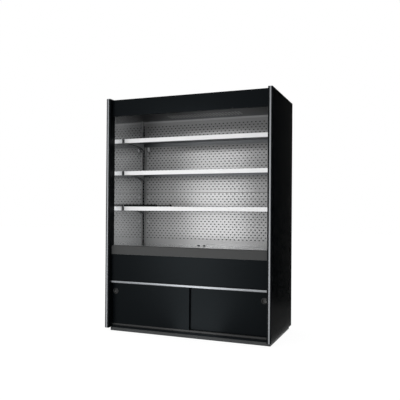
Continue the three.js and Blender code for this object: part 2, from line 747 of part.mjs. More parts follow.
// Slotted grille between the sill and the deck, with a flange down to the ledges at each edge.
function returnAirGrille() {
  const half = INSIDE_X - GAP;
  const front = FACE_Y + SILL_DEPTH + 2 * GAP;
  const back = fromFront(DECK_SETBACK) - 2 * GAP;
  const top = DECK_LEVEL - GRILLE_DROP;
  const bottom = DECK_LEVEL - DECK_HEIGHT;
  const count = Math.floor((2 * half - GRILLE_PITCH) / GRILLE_PITCH);
  const profile = [
    [front, bottom],
    [front, top],
    [back, top],
    [back, bottom],
    [back - SHEET, bottom],
    [back - SHEET, top - SHEET],
    [front + SHEET, top - SHEET],
    [front + SHEET, bottom],
  ];
  const slots = Array.from({ length: count }, (_, i) => {
    const x = (i - (count - 1) / 2) * GRILLE_PITCH;
    const across = [x - GRILLE_SLOT / 2, x + GRILLE_SLOT / 2];
    return block(across, [front + GRILLE_EDGE, back - GRILLE_EDGE], [bottom, top + OVERSHOOT]);
  });
  return cut(alongX(profile, [-half, half]), ...slots);
}

// ---------------------------------------------------------------- fronts
// Cap over the tank's front wall: the grey band under the opening.
function frontSill() {
  const front = FACE_Y;
  const back = front + SILL_DEPTH;
  const bottom = SILL_TOP - SILL_HEIGHT;
  const profile = [
    [front, bottom],
    [front, SILL_TOP - SHEET],
    [front + SHEET, SILL_TOP],
    [back, SILL_TOP],
    [back, TANK_WALL_TOP + GAP],
    [back - SHEET, TANK_WALL_TOP + GAP],
    [back - SHEET, SILL_TOP - SHEET],
    [front + SHEET, SILL_TOP - SHEET],
    [front + SHEET, bottom],
  ];
  return alongX(profile, [-FRONT_X, FRONT_X]);
}

// Sheet over the tank's front wall, folded under the tank.
function frontPanel() {
  const front = FACE_Y;
  const bottom = TANK_BOTTOM - GAP - SHEET;
  const top = SILL_TOP - SILL_HEIGHT - GAP;
  const fold = front + FRONT_PANEL_RETURN;
  const profile = [
    [front, bottom],
    [fold, bottom],
    [fold, bottom + SHEET],
    [front + SHEET, bottom + SHEET],
    [front + SHEET, top],
    [front, top],
  ];
  return alongX(profile, [-FRONT_X, FRONT_X]);
}

// Extruded aluminium bumper, a channel that is open to the back.
function bumperRail() {
  const front = FACE_Y - BUMPER_PROUD;
  const back = TRACK_Y - GAP;
  const top = TANK_BOTTOM - 2 * GAP - SHEET;
  const bottom = top - BUMPER_HEIGHT;
  const shape = new THREE.Shape();
  shape.moveTo(back, bottom);
  shape.lineTo(back, bottom + BUMPER_WALL);
  shape.lineTo(front + BUMPER_WALL, bottom + BUMPER_WALL);
  shape.lineTo(front + BUMPER_WALL, top - BUMPER_WALL);
  shape.lineTo(back, top - BUMPER_WALL);
  shape.lineTo(back, top);
  shape.lineTo(front + BUMPER_RADIUS, top);
  shape.quadraticCurveTo(front, top, front, top - BUMPER_RADIUS);
  shape.lineTo(front, bottom + BUMPER_RADIUS);
  shape.quadraticCurveTo(front, bottom, front + BUMPER_RADIUS, bottom);
  return alongX(shape.getPoints(4).map((p) => [p.x, p.y]), [-FRONT_X, FRONT_X]);
}

// ---------------------------------------------------------------- sliding doors
// Track with two channels. A positive height opens the channels upwards, a negative one downwards.
function doorTrack(height) {
  const base = Math.sign(height) * TRACK_WALL;
  const edges = [0, TRACK_WALL, TRACK_WALL + CHANNEL, 2 * TRACK_WALL + CHANNEL];
  const [y0, y1, y2, y3] = edges.map((y) => TRACK_Y + y);
  const y4 = TRACK_Y + TRACK_DEPTH - TRACK_WALL;
  const y5 = TRACK_Y + TRACK_DEPTH;
  const profile = [
    [y0, 0],
    [y5, 0],
    [y5, height],
    [y4, height],
    [y4, base],
    [y3, base],
    [y3, height],
    [y2, height],
    [y2, base],
    [y1, base],
    [y1, height],
    [y0, height],
  ];
  return alongX(profile, [-FRONT_X, FRONT_X]);
}

// Door leaf with a round hole for its finger pull. Its own origin is the pull's centre.
function doorLeaf(side) {
  const outer = side * PULL_INSET;
  const inner = outer - side * (DOOR_OUTER + DOOR_OVERLAP / 2);
  const hole = ring(0, 0, outside(PULL_CUP + GAP, FACET_COUNT.pull), FACET_COUNT.pull);
  const leaf = rectangle(
    [Math.min(outer, inner), Math.max(outer, inner)],
    [DOOR_BOTTOM - PULL_LEVEL, DOOR_TOP - PULL_LEVEL],
  );
  return alongY(leaf, [0, DOOR_THICKNESS], [hole]);
}

// Flush cup that the fingers go into, with a flange on the door's face.
function fingerPull() {
  const profile = [
    [0, -PULL_DEPTH],
    [PULL_CUP, -PULL_DEPTH],
    [PULL_CUP, GAP],
    [PULL_RADIUS, GAP],
    [PULL_RADIUS - PULL_FLANGE / 2, GAP + PULL_FLANGE],
    [PULL_CUP - PULL_WALL, GAP + PULL_FLANGE],
    [PULL_CUP - PULL_WALL, -PULL_DEPTH + PULL_WALL],
    [0, -PULL_DEPTH + PULL_WALL],
  ];
  const points = profile.map(([r, h]) => new THREE.Vector2(r, h));
  return new THREE.LatheGeometry(points, FACET_COUNT.pull).rotateX(Math.PI);
}

// ---------------------------------------------------------------- base
function baseFloor() {
  const radius = outside(STUD_RADIUS + GAP, FACET_COUNT.small);
  const studs = [FOOT_FRONT_Y, FOOT_REAR_Y].flatMap((y) =>
    [-FOOT_X, FOOT_X].map((x) => ring(x, y, radius, FACET_COUNT.small)),
  );
  const plan = rectangle([-FRONT_X, FRONT_X], [fromFront(BASE_SETBACK), BACK]);
  return alongZ(plan, [PLINTH_HEIGHT, BASE_TOP], studs);
}

// Skirt on the floor, set back from the front and sides and flush with the back.
function plinth() {
  const x = PLINTH_X;
  const y = [fromFront(PLINTH_SETBACK), BACK];
  const inside = rectangle([-x + PLINTH_WALL, x - PLINTH_WALL], [y[0] + PLINTH_WALL, y[1] - PLINTH_WALL]);
  return alongZ(rectangle([-x, x], y), [0, PLINTH_HEIGHT - GAP], [inside]);
}

// Levelling foot: a round pad with a stud that screws into the base.
function levellingFoot() {
  const profile = [
    [0, 0],
    [FOOT_RADIUS, 0],
    [FOOT_RADIUS, FOOT_PAD / 2],
    [STUD_RADIUS, FOOT_PAD],
    [STUD_RADIUS, PLINTH_HEIGHT + STUD_INTO_BASE],
    [0, PLINTH_HEIGHT + STUD_INTO_BASE],
  ];
  const points = profile.map(([r, h]) => new THREE.Vector2(r, h));
  return new THREE.LatheGeometry(points, FACET_COUNT.small).rotateX(Math.PI / 2);
}

// Louvred sheet behind the condensing unit and the storage space.
function rearGrille() {
  const y = BACK - REAR_GRILLE_SETBACK;
  const bottom = BASE_TOP + GAP;
  const top = TANK_BOTTOM - GAP;
  const middle = (bottom + top) / 2;
  const count = Math.floor((2 * FRONT_X - LOUVRE_PITCH) / LOUVRE_PITCH);
  const louvres = Array.from({ length: count }, (_, i) => {
    const x = (i - (count - 1) / 2) * LOUVRE_PITCH;
    const tall = [middle - LOUVRE_HEIGHT / 2, middle + LOUVRE_HEIGHT / 2];
    return rectangle([x - LOUVRE_WIDTH / 2, x + LOUVRE_WIDTH / 2], tall);
  });
  return alongY(rectangle([-FRONT_X, FRONT_X], [bottom, top]), [y - SHEET, y], louvres);
}

// ---------------------------------------------------------------- refrigeration
// Finned coil: upright fins on a base, drawn as one comb.
function finnedCoil(width, depth, height) {
  const fins = Math.floor((width - FIN_THICKNESS) / FIN_PITCH);
  const comb = [
    [-width / 2, 0],
    [width / 2, 0],
  ];
  for (let i = fins; i >= 0; i -= 1) {
    const right = -width / 2 + FIN_THICKNESS + (i * (width - FIN_THICKNESS)) / fins;
    comb.push([right, height], [right - FIN_THICKNESS, height]);
    if (i) comb.push([right - FIN_THICKNESS, COIL_BASE]);
    if (i) comb.push([right - (width - FIN_THICKNESS) / fins, COIL_BASE]);
  }
  return alongY(comb, [-depth / 2, depth / 2]);
}

// Fan rotor about Y: a bored hub and pitched blades. Its origin is on the shaft, at the hub's front.
function fanRotor({ radius, hub, hubDepth, blades, chord, pitch }) {
  const bore = ring(0, 0, outside(SHAFT_RADIUS + GAP, FACET_COUNT.small), FACET_COUNT.small);
  const body = alongY(ring(0, 0, hub, FACET_COUNT.hub), [0, hubDepth]);
  const angle = THREE.MathUtils.degToRad(pitch);
  const sweep = chord * Math.sin(angle) + BLADE_THICKNESS * Math.cos(angle);
  const root = hub - BLADE_EMBED;
  const pieces = Array.from({ length: blades }, (_, i) => {
    const blade = new THREE.BoxGeometry(radius - root, BLADE_THICKNESS, chord);
    blade.rotateX(angle);
    blade.translate((radius + root) / 2, sweep / 2 + GAP, 0);
    return blade.rotateY((i * 2 * Math.PI) / blades);
  });
  const whole = join(body, ...pieces);
  return cut(whole, alongY(bore, [-chord, chord]));
}

// Fan plate about Y with a round opening for each fan, and its motors on struts behind.
function fanPlate(fan, xs, [x0, x1], [z0, z1], level) {
  const tall = rectangle([x0, x1], [z0, z1]);
  const openings = xs.map((x) => ring(x, level, fan.radius + TIP_CLEARANCE, FACET_COUNT.opening));
  const sweep = fan.chord * Math.sin((fan.pitch * Math.PI) / 180);
  const strutY = Math.max(fan.hubDepth, sweep) + TIP_CLEARANCE;
  const pieces = [alongY(tall, [0, SHEET], openings)];
  for (const x of xs) {
    const reach = fan.radius + 2 * TIP_CLEARANCE;
    const end = strutY + MOTOR_DEPTH;
    const bar = [x - reach - STRUT, x + reach + STRUT];
    pieces.push(block(bar, [end - STRUT, end], [level - STRUT, level + STRUT]));
    for (const post of [x - reach - STRUT / 2, x + reach + STRUT / 2]) {
      const wide = [post - POST / 2, post + POST / 2];
      pieces.push(block(wide, [SHEET / 2, end - STRUT / 2], [level - STRUT / 2, level + STRUT / 2]));
    }
    const motor = ring(x, level, fan.hub - MOTOR_STEP, FACET_COUNT.motor);
    const shaft = ring(x, level, SHAFT_RADIUS, FACET_COUNT.small);
    pieces.push(alongY(motor, [strutY, end - OVERSHOOT]));
    pieces.push(alongY(shaft, [fan.hubDepth - SHAFT_EMBED, strutY + OVERSHOOT]));
  }
  return join(...pieces);
}

function pipe(points, radius) {
  const extrudePath = new THREE.CatmullRomCurve3(points.map((p) => new THREE.Vector3(...p)));
  const section = shapeOf(ring(0, 0, radius, FACET_COUNT.pipe));
  return new THREE.ExtrudeGeometry(section, { steps: PIPE_STEP_COUNT, bevelEnabled: false, extrudePath });
}

// Hermetic compressor on its mounting plate, with the pipes that are brazed to it. Its origin is the
// middle of the plate's underside.
function compressor() {
  const radius = COMPRESSOR_RADIUS;
  const top = COMPRESSOR_HEIGHT;
  const dome = COMPRESSOR_DOME;
  const shoulder = [0, 45, 90].map((turn) => {
    const angle = THREE.MathUtils.degToRad(turn);
    return [radius - dome * (1 - Math.cos(angle)), top - dome * (1 - Math.sin(angle))];
  });
  const profile = [
    [0, COMPRESSOR_PLATE - OVERSHOOT],
    [radius - dome / 2, COMPRESSOR_PLATE - OVERSHOOT],
    [radius, COMPRESSOR_PLATE + dome / 2],
    ...shoulder,
    [0, top],
  ];
  const pot = new THREE.LatheGeometry(profile.map(([r, h]) => new THREE.Vector2(r, h)), FACET_COUNT.hub);
  pot.rotateX(Math.PI / 2);
  const half = [COMPRESSOR_PLATE_WIDTH / 2, COMPRESSOR_PLATE_DEPTH / 2];
  const base = block([-half[0], half[0]], [-half[1], half[1]], [0, COMPRESSOR_PLATE]);
  const lid = TANK_BOTTOM - GAP - BASE_TOP - GAP;
  const suctionX = radius + SUCTION_OUT;
  const suction = pipe(
    [
      [radius / 2, 0, top - dome],
      [radius + SUCTION_OUT / 2, SUCTION_BACK / 2, top - dome],
      [suctionX, SUCTION_BACK, top + PIPE_RISE],
      [suctionX, SUCTION_BACK, lid - 3 * PIPE_RISE],
      [suctionX, SUCTION_BACK, lid],
    ],
    SUCTION_RADIUS,
  );
  const coilBack = CONDENSER_Y + CONDENSER_DEPTH / 2 - COMPRESSOR_Y;
  const coilEdge = CONDENSER_WIDTH / 2 + DISCHARGE_RADIUS + GAP;
  const discharge = pipe(
    [
      [radius / 2, -DISCHARGE_FORWARD / 3, top - 1.5 * dome],
      [radius + DISCHARGE_OUT, -DISCHARGE_FORWARD, top - dome],
      [coilEdge, coilBack + DISCHARGE_LEAD, top],
      [coilEdge, coilBack, top + PIPE_RISE],
      [coilEdge, coilBack - CONDENSER_DEPTH / 2, top + PIPE_RISE],
    ],
    DISCHARGE_RADIUS,
  );
  return join(base, pot, suction, discharge);
}

function condensateTray() {
  const x = TRAY_WIDTH / 2;
  const y = TRAY_DEPTH / 2;
  const outer = block([-x, x], [-y, y], [0, TRAY_WALL_HEIGHT]);
  const inner = block(
    [-x + TRAY_WALL, x - TRAY_WALL],
    [-y + TRAY_WALL, y - TRAY_WALL],
    [TRAY_WALL, TRAY_WALL_HEIGHT + OVERSHOOT],
  );
  return cut(outer, inner);
}

// Control box under the tank, with a pocket for its rocker switch. Its origin is the switch's pivot.
function controlBox() {
  const x = CONTROL_WIDTH / 2;
  const front = -SWITCH_THICKNESS / 2;
  const top = CONTROL_HEIGHT / 2;
  const pocketX = SWITCH_WIDTH / 2 + GAP;
  const pocketZ = SWITCH_HEIGHT / 2 + SWITCH_CLEARANCE;
  const housing = block([-x, x], [front, front + CONTROL_DEPTH], [-top, top]);
  const pocket = block([-pocketX, pocketX], [front - OVERSHOOT, SWITCH_THICKNESS / 2], [-pocketZ, pocketZ]);
  return cut(housing, pocket);
}

function powerSwitch() {
  const end = SWITCH_HEIGHT / 2;
  const thick = SWITCH_THICKNESS / 2;
  const profile = [
    [thick - GAP, 0],
    [0, end],
    [-thick, end],
    [-thick + SWITCH_DISH, 0],
    [-thick, -end],
    [0, -end],
  ];
  return alongX(profile, [-SWITCH_WIDTH / 2, SWITCH_WIDTH / 2]);
}

// ---------------------------------------------------------------- assembly
const panel = endPanel();
for (const [word, side] of SIDES) {
  place(`end_panel_${word}`, panel(side), BLACK_PAINT);
  place(`edge_strip_${word}`, edgeStrip(side), ALUMINIUM);
  place(`side_liner_${word}`, sideLiner(side), POLISHED);
  place(`upright_${word}`, upright(side), DARK_STEEL);
}
place("back_wall", backWall(), BLACK_PAINT);
place("roof_panel", roofPanel(), BLACK_PAINT);
place("header_panel", headerPanel(), BLACK_PAINT);
place("cold_tank", coldTank(), GALVANISED);

place("ceiling_panel", ceilingPanel(), SATIN_STEEL);
place("ceiling_trim", ceilingTrim(), POLISHED);
place("air_discharge_grille", airDischargeGrille(), BLACK_PLASTIC);
place("canopy_lamp", canopyLamp(), WHITE_PLASTIC);

const seamHalf = DUCT_SEAM / 2;
place("duct_panel_lower", ductPanel(DUCT_BOTTOM, DUCT_SEAM_LEVEL - seamHalf), SATIN_STEEL);
place("duct_panel_upper", ductPanel(DUCT_SEAM_LEVEL + seamHalf, CEILING_LEVEL - GAP), SATIN_STEEL);

for (const [word, slots] of SHELVES) {
  const level = LOWEST_SHELF + slots * SLOT_PITCH;
  place(`shelf_${word}`, shelfTray(), SATIN_STEEL, [0, 0, level]);
  place(`ticket_strip_${word}`, ticketStrip(), WHITE_PLASTIC, [0, 0, level]);
  for (const [hand, side] of SIDES) {
    place(`bracket_${word}_${hand}`, bracket(), DARK_STEEL, [side * UPRIGHT_X, 0, level]);
  }
}
const railLevel = LOWEST_SHELF + TICKET_HEIGHT - SHEET + GAP;
place("guard_rail", guardRail(), BLACK_PLASTIC, [-TRAY_X, TRAY_FRONT + SHEET, railLevel]);

place("deck_panel", deckPanel(), SATIN_STEEL);
place("return_air_grille", returnAirGrille(), DARK_STEEL);
place("front_sill", frontSill(), GREY_PLASTIC);
place("front_panel", frontPanel(), BLACK_PAINT);
place("bumper_rail", bumperRail(), ALUMINIUM);

place("door_track_top", doorTrack(-TRACK_TOP_HEIGHT), BLACK_PLASTIC, [0, 0, TRACK_TOP]);
place("door_track_bottom", doorTrack(TRACK_BOTTOM_HEIGHT), BLACK_PLASTIC, [0, 0, BASE_TOP + GAP]);
const DOOR_PLANES = { left: FRONT_DOOR_Y, right: REAR_DOOR_Y };
for (const [word, side] of SIDES) {
  const at = [side * (DOOR_OUTER - PULL_INSET), DOOR_PLANES[word], PULL_LEVEL];
  place(`door_${word}`, doorLeaf(side), BLACK_PAINT, at);
  place(`finger_pull_${word}`, fingerPull(), BLACK_PLASTIC, at);
}

place("base_floor", baseFloor(), BLACK_PAINT);
place("plinth", plinth(), PLINTH_PAINT);
place("rear_grille", rearGrille(), GALVANISED);
for (const [word, side] of SIDES) {
  place(`foot_front_${word}`, levellingFoot(), BLACK_PLASTIC, [side * FOOT_X, FOOT_FRONT_Y, 0]);
  place(`foot_rear_${word}`, levellingFoot(), BLACK_PLASTIC, [side * FOOT_X, FOOT_REAR_Y, 0]);
}

const coilLevel = TANK_INSIDE + GAP;
const evaporator = finnedCoil(2 * (INSIDE_X - COIL_END), COIL_DEPTH, COIL_HEIGHT);
place("evaporator_coil", evaporator, ALUMINIUM, [0, COIL_Y, coilLevel]);
const plateTop = DECK_LEVEL - DECK_HEIGHT - GAP - LEDGE_THICKNESS - FAN_PLATE_DROP;
const fanLevel = (coilLevel + plateTop) / 2;
const fanX = INSIDE_X / 2;
const fanXs = [-fanX, fanX];
const plateX = [-INSIDE_X, INSIDE_X];
const plateZ = [coilLevel, plateTop];
const evaporatorPlate = fanPlate(EVAPORATOR_FAN, fanXs, plateX, plateZ, fanLevel);
place("evaporator_fan_plate", evaporatorPlate, GALVANISED, [0, FAN_PLATE_Y, 0]);
for (const [word, side] of SIDES) {
  const at = [side * fanX, FAN_PLATE_Y, fanLevel];
  place(`evaporator_fan_${word}`, fanRotor(EVAPORATOR_FAN), BLACK_PLASTIC, at);
}

const floorLevel = BASE_TOP + GAP;
const condenser = finnedCoil(CONDENSER_WIDTH, CONDENSER_DEPTH, CONDENSER_HEIGHT);
place("condenser_coil", condenser, GALVANISED, [UNIT_X, CONDENSER_Y, floorLevel]);
const shroudY = CONDENSER_Y + CONDENSER_DEPTH / 2 + GAP;
const shroudX = [UNIT_X - CONDENSER_WIDTH / 2, UNIT_X + CONDENSER_WIDTH / 2];
const condenserFanLevel = floorLevel + CONDENSER_HEIGHT / 2;
const shroudZ = [floorLevel, floorLevel + CONDENSER_HEIGHT];
const shroud = fanPlate(CONDENSER_FAN, [UNIT_X], shroudX, shroudZ, condenserFanLevel);
place("condenser_fan_shroud", shroud, GALVANISED, [0, shroudY, 0]);
const condenserFanAt = [UNIT_X, shroudY, condenserFanLevel];
place("condenser_fan", fanRotor(CONDENSER_FAN), BLACK_PLASTIC, condenserFanAt);
place("compressor", compressor(), COMPRESSOR_PAINT, [UNIT_X, COMPRESSOR_Y, floorLevel]);
place("condensate_tray", condensateTray(), BLACK_PLASTIC, [DRAIN_X, DRAIN_Y, floorLevel]);

const switchAt = [CONTROL_X, CONTROL_Y, TANK_BOTTOM - GAP - CONTROL_HEIGHT / 2];
place("control_box", controlBox(), GALVANISED, switchAt);
const rocker = place("power_switch", powerSwitch(), BLACK_PLASTIC, switchAt);
rocker.rotation.x = THREE.MathUtils.degToRad(-SWITCH_TILT);

export default cabinet;
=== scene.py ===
"""The looks of an open multideck display fridge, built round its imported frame.

Metres, +Z up; the open front faces -Y. The sections follow the cabinet as it is put together: the room,
the base, the insulated shell, the cooled tank, the canopy, the air duct, the shelves, the fronts and the
condensing unit. Each piece sits where its solid is in the frame.
"""

import json
import math

import bmesh
import bpy
import numpy as np
from mathutils import Matrix, Vector

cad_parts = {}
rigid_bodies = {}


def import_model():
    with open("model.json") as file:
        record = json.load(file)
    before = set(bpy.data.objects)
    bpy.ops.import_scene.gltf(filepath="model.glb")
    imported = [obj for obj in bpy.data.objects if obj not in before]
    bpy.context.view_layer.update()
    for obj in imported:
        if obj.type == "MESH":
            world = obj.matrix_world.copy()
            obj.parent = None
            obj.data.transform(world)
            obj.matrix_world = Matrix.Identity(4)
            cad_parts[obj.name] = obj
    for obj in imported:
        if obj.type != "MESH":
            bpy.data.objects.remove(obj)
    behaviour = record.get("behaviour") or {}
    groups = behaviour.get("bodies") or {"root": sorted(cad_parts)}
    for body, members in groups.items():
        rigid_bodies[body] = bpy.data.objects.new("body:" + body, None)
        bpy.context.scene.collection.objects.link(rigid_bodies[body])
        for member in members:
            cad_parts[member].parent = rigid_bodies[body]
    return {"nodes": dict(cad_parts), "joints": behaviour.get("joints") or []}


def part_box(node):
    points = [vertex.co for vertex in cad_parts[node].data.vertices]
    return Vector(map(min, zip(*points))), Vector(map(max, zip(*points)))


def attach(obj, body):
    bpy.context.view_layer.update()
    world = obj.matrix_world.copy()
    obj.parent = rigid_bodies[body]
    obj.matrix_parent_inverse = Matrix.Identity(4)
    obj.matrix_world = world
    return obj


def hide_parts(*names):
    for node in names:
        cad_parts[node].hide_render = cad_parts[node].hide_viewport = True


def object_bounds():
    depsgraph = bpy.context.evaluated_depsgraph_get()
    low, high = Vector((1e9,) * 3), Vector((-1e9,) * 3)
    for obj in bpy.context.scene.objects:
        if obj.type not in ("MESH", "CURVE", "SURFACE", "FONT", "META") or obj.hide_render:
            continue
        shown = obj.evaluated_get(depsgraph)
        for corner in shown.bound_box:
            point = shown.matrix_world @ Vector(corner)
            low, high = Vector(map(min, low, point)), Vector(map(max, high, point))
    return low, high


for thing in list(bpy.data.objects):
    bpy.data.objects.remove(thing)
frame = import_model()
cad_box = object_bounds()


# ---- room
# A white room with a pale floor. Even light comes from all round, and tall soft lamps in front draw
# broad upright reflections on the black fronts and on the steel behind the shelves.
CAMERA_AT = (1.7014, -4.3015, 1.0476)
CAMERA_YAW, CAMERA_PITCH, CAMERA_ROLL = 21.618, 0.323, 0.415  # degrees
CAMERA_LENS, CAMERA_FILM = 47.546, 36.0  # millimetres
CAMERA_RISE = 0.0178  # share of the frame that the view is shifted up
CAMERA_REACH = 100.0
FLOOR_SIZE = 40.0
FLOOR_LEVEL = -0.0006
FLOOR_LIT = 0.14  # share of the floor's colour that the lamps make; the rest is plain white
FLOOR_WHITE = 1.08
FLOOR_COLOUR = (0.9, 0.9, 0.9, 1)
WHITE = (1, 1, 1, 1)
ROOM_LIGHT = 0.78
LAMPS = {
    "front_left_lamp": {"at": (-1.42, -3.9, 1.2), "aim": (0.0, 0.0, 1.0), "size": (1.0, 2.4), "power": 44},
    "overhead_lamp": {"at": (0.3, -2.0, 4.2), "aim": (0.0, 0.0, 0.9), "size": (3.0, 2.0), "power": 10},
}
# Sheets that only reflections see: each one's glow and corners. Dark cloths hang behind and beside the
# right end panel, and a bright card on the floor carries the front lamp's reflection down the doors.
SHEETS = {
    "rear_cloth": (0.0, [(0.8, 1.5, 0.0), (8.0, 1.5, 0.0), (8.0, 1.5, 6.0), (0.8, 1.5, 6.0)]),
    "side_cloth": (0.0, [(4.0, -3.0, 0.0), (4.0, 1.5, 0.0), (4.0, 1.5, 6.0), (4.0, -3.0, 6.0)]),
    "low_cloth": (0.08, [(0.76, -0.6, 0.0), (4.0, -0.6, 0.0), (4.0, 1.5, 0.0), (0.76, 1.5, 0.0)]),
    "floor_card": (5.0, [(-0.16, -0.5, 0.0), (0.22, -0.5, 0.0), (-0.62, -3.6, 0.0), (-1.72, -3.6, 0.0)]),
}


class Wire:
    """A node's output that can be reckoned with: each operator adds a Math node."""

    def __init__(self, nodes, socket):
        self.nodes, self.socket = nodes, socket

    def math(self, operation, *values):
        return self.nodes.add("ShaderNodeMath", {"operation": operation}, dict(enumerate(values)))

    def __add__(self, other):
        return self.math("ADD", self, other)

    def __rsub__(self, other):
        return self.math("SUBTRACT", other, self)

    def __mul__(self, other):
        return self.math("MULTIPLY", self, other)

    __radd__ = __add__
    __rmul__ = __mul__


class Nodes:
    """A node tree being written."""

    def __init__(self, tree):
        self.tree = tree

    def add(self, kind, settings=None, inputs=None, output=0):
        """Adds a node: its settings first, then the value or the link of each input."""
        node = self.tree.nodes.new(kind)
        for name, value in (settings or {}).items():
            setattr(node, name, value)
        self.feed(node.name, inputs or {})
        return Wire(self, node.outputs[output])

    def feed(self, node, inputs):
        """Sets or links inputs of the node that has this name."""
        for name, value in inputs.items():
            socket = self.tree.nodes[node].inputs[name]
            if isinstance(value, Wire):
                self.tree.links.new(value.socket, socket)
            else:
                socket.default_value = value


def seen_plainly(nodes):
    """1 for rays that come straight from the camera, a reflection or a clear body, else 0."""
    plain = nodes.add("ShaderNodeLightPath", output="Is Camera Ray")
    outputs = plain.socket.node.outputs
    plain = plain + Wire(nodes, outputs["Is Glossy Ray"]) + Wire(nodes, outputs["Is Transmission Ray"])
    return plain.math("MINIMUM", plain, 1.0)


def new_finish(name):
    """A new material and its nodes."""
    made = bpy.data.materials.new(name)
    made.use_nodes = True
    return made, Nodes(made.node_tree)


def glowing(nodes, strength):
    """A plain white glow."""
    return nodes.add("ShaderNodeEmission", inputs={"Color": WHITE, "Strength": strength})


def hang(name, corners, finish):
    """A flat sheet that belongs to the room."""
    mesh = bpy.data.meshes.new(name)
    mesh.from_pydata(corners, [], [(0, 1, 2, 3)])
    mesh.materials.append(finish)
    sheet = bpy.data.objects.new(name, mesh)
    scene.collection.objects.link(sheet)
    return sheet


scene = bpy.context.scene
scene.view_settings.view_transform = "Standard"

camera = bpy.data.objects.new("camera", bpy.data.cameras.new("camera"))
camera.data.lens = CAMERA_LENS
camera.data.sensor_width = CAMERA_FILM
camera.data.shift_y = CAMERA_RISE
camera.data.clip_end = CAMERA_REACH
camera.matrix_world = Matrix.Translation(CAMERA_AT)
for degrees, axis in ((CAMERA_YAW, "Z"), (90 + CAMERA_PITCH, "X"), (CAMERA_ROLL, "Z")):
    camera.matrix_world = camera.matrix_world @ Matrix.Rotation(math.radians(degrees), 4, axis)
scene.collection.objects.link(camera)
scene.camera = camera

scene.world = bpy.data.worlds.new("room")
scene.world.use_nodes = True
room = Nodes(scene.world.node_tree)
strength = seen_plainly(room) * (1 - ROOM_LIGHT) + ROOM_LIGHT
room.feed("Background", {"Color": WHITE, "Strength": strength})

for name, lamp in LAMPS.items():
    light = bpy.data.lights.new(name, "AREA")
    light.shape = "RECTANGLE"
    light.size, light.size_y = lamp["size"]
    light.energy = lamp["power"]
    shown = bpy.data.objects.new(name, light)
    aim = Vector(lamp["aim"]) - Vector(lamp["at"])
    shown.matrix_world = Matrix.Translation(lamp["at"]) @ aim.to_track_quat("-Z", "Y").to_matrix().to_4x4()
    shown.visible_camera = False
    scene.collection.objects.link(shown)

pale_floor, nodes = new_finish("pale_floor")
matte = nodes.add("ShaderNodeBsdfDiffuse", inputs={"Color": FLOOR_COLOUR})
share = 1 - seen_plainly(nodes) * (1 - FLOOR_LIT)
floor_mix = nodes.add("ShaderNodeMixShader", inputs={0: share, 1: glowing(nodes, FLOOR_WHITE), 2: matte})
nodes.feed("Material Output", {"Surface": floor_mix})
half = FLOOR_SIZE / 2
corners = [(x, y, FLOOR_LEVEL) for x, y in ((-half, -half), (half, -half), (half, half), (-half, half))]
hang("floor", corners, pale_floor)
for name, (glow, corners) in SHEETS.items():
    shine, nodes = new_finish(name)
    nodes.feed("Material Output", {"Surface": glowing(nodes, glow)})
    sheet = hang(name, corners, shine)
    sheet.visible_camera = sheet.visible_diffuse = sheet.visible_transmission = sheet.visible_shadow = False


# ---- plinth
# A skirt of folded steel sheet with rounded corners, painted dark grey. It stands on the floor and
# closes the space under the base.
PLINTH_WALL = 0.003
PLINTH_CORNER = 0.006


def colour(red, green, blue):
    """The linear colour of a display colour whose channels run from 0 to 255."""
    display = np.array([red, green, blue]) / 255
    linear = np.where(display <= 0.04045, display / 12.92, ((display + 0.055) / 1.055) ** 2.4)
    return (*linear.tolist(), 1.0)


def box(node):
    """The lowest and the highest corner of a node of the frame."""
    return [np.array(corner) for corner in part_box(node)]


def others(axis):
    """The other two of the three axes."""
    return [a for a in range(3) if a != axis]


def rectangle(u0, u1, v0, v1):
    return np.array([(u0, v0), (u1, v0), (u1, v1), (u0, v1)])


def seen_along(axis, lo, hi, inset=0.0):
    """The rectangle of a box as it is seen along an axis, drawn in by the inset."""
    u, v = others(axis)
    return rectangle(lo[u] + inset, hi[u] - inset, lo[v] + inset, hi[v] - inset)


def bend(a, corner, b, steps):
    """The curve (1 - s)^2 a + 2 s (1 - s) corner + s^2 b."""
    s = np.linspace(0, 1, steps + 1)[:, None]
    return (1 - s) ** 2 * a + 2 * s * (1 - s) * corner + s**2 * b


def rounded(outline, radius, steps=4):
    """The outline with a bend at each corner: it starts the radius before the corner and ends the
    radius after it. No bend takes more than 0.45 of a side."""
    corner = np.asarray(outline, float)

    def reach(side):
        length = np.linalg.norm(side, axis=1, keepdims=True)
        return side / length * np.minimum(np.reshape(radius, (-1, 1)), 0.45 * length)

    a = corner + reach(np.roll(corner, 1, 0) - corner)
    b = corner + reach(np.roll(corner, -1, 0) - corner)
    return bend(a[:, None], corner[:, None], b[:, None], steps).reshape(-1, 2)


def stood(outline, axis, place):
    """The outline's two coordinates on the other two axes, at one place along this axis."""
    points = np.empty((len(outline), 3))
    points[:, axis] = place
    points[:, others(axis)] = outline
    return points


def loft(rings, wrap=False):
    """Quads between neighbouring rings of as many points each: the quad at (i, j) joins points j and
    j + 1 of rings i and i + 1. The ends get a cap each, or with wrap the last ring joins the first."""
    rings = np.asarray(rings, float)
    count, around = rings.shape[:2]
    i = np.arange(count if wrap else count - 1)[:, None]
    j = np.arange(around)[None, :]
    after, beside = (i + 1) % count, (j + 1) % around
    quads = np.stack([i * around + j, i * around + beside, after * around + beside, after * around + j], -1)
    faces = quads.reshape(-1, 4).tolist()
    if not wrap:
        faces += [list(range(around))[::-1], list(range((count - 1) * around, count * around))]
    return rings.reshape(-1, 3), faces


def hollow(outer, inner, low, high):
    """An upright wall between two outlines."""
    edges = ((outer, low), (outer, high), (inner, high), (inner, low))
    return loft([stood(outline, 2, z) for outline, z in edges], wrap=True)


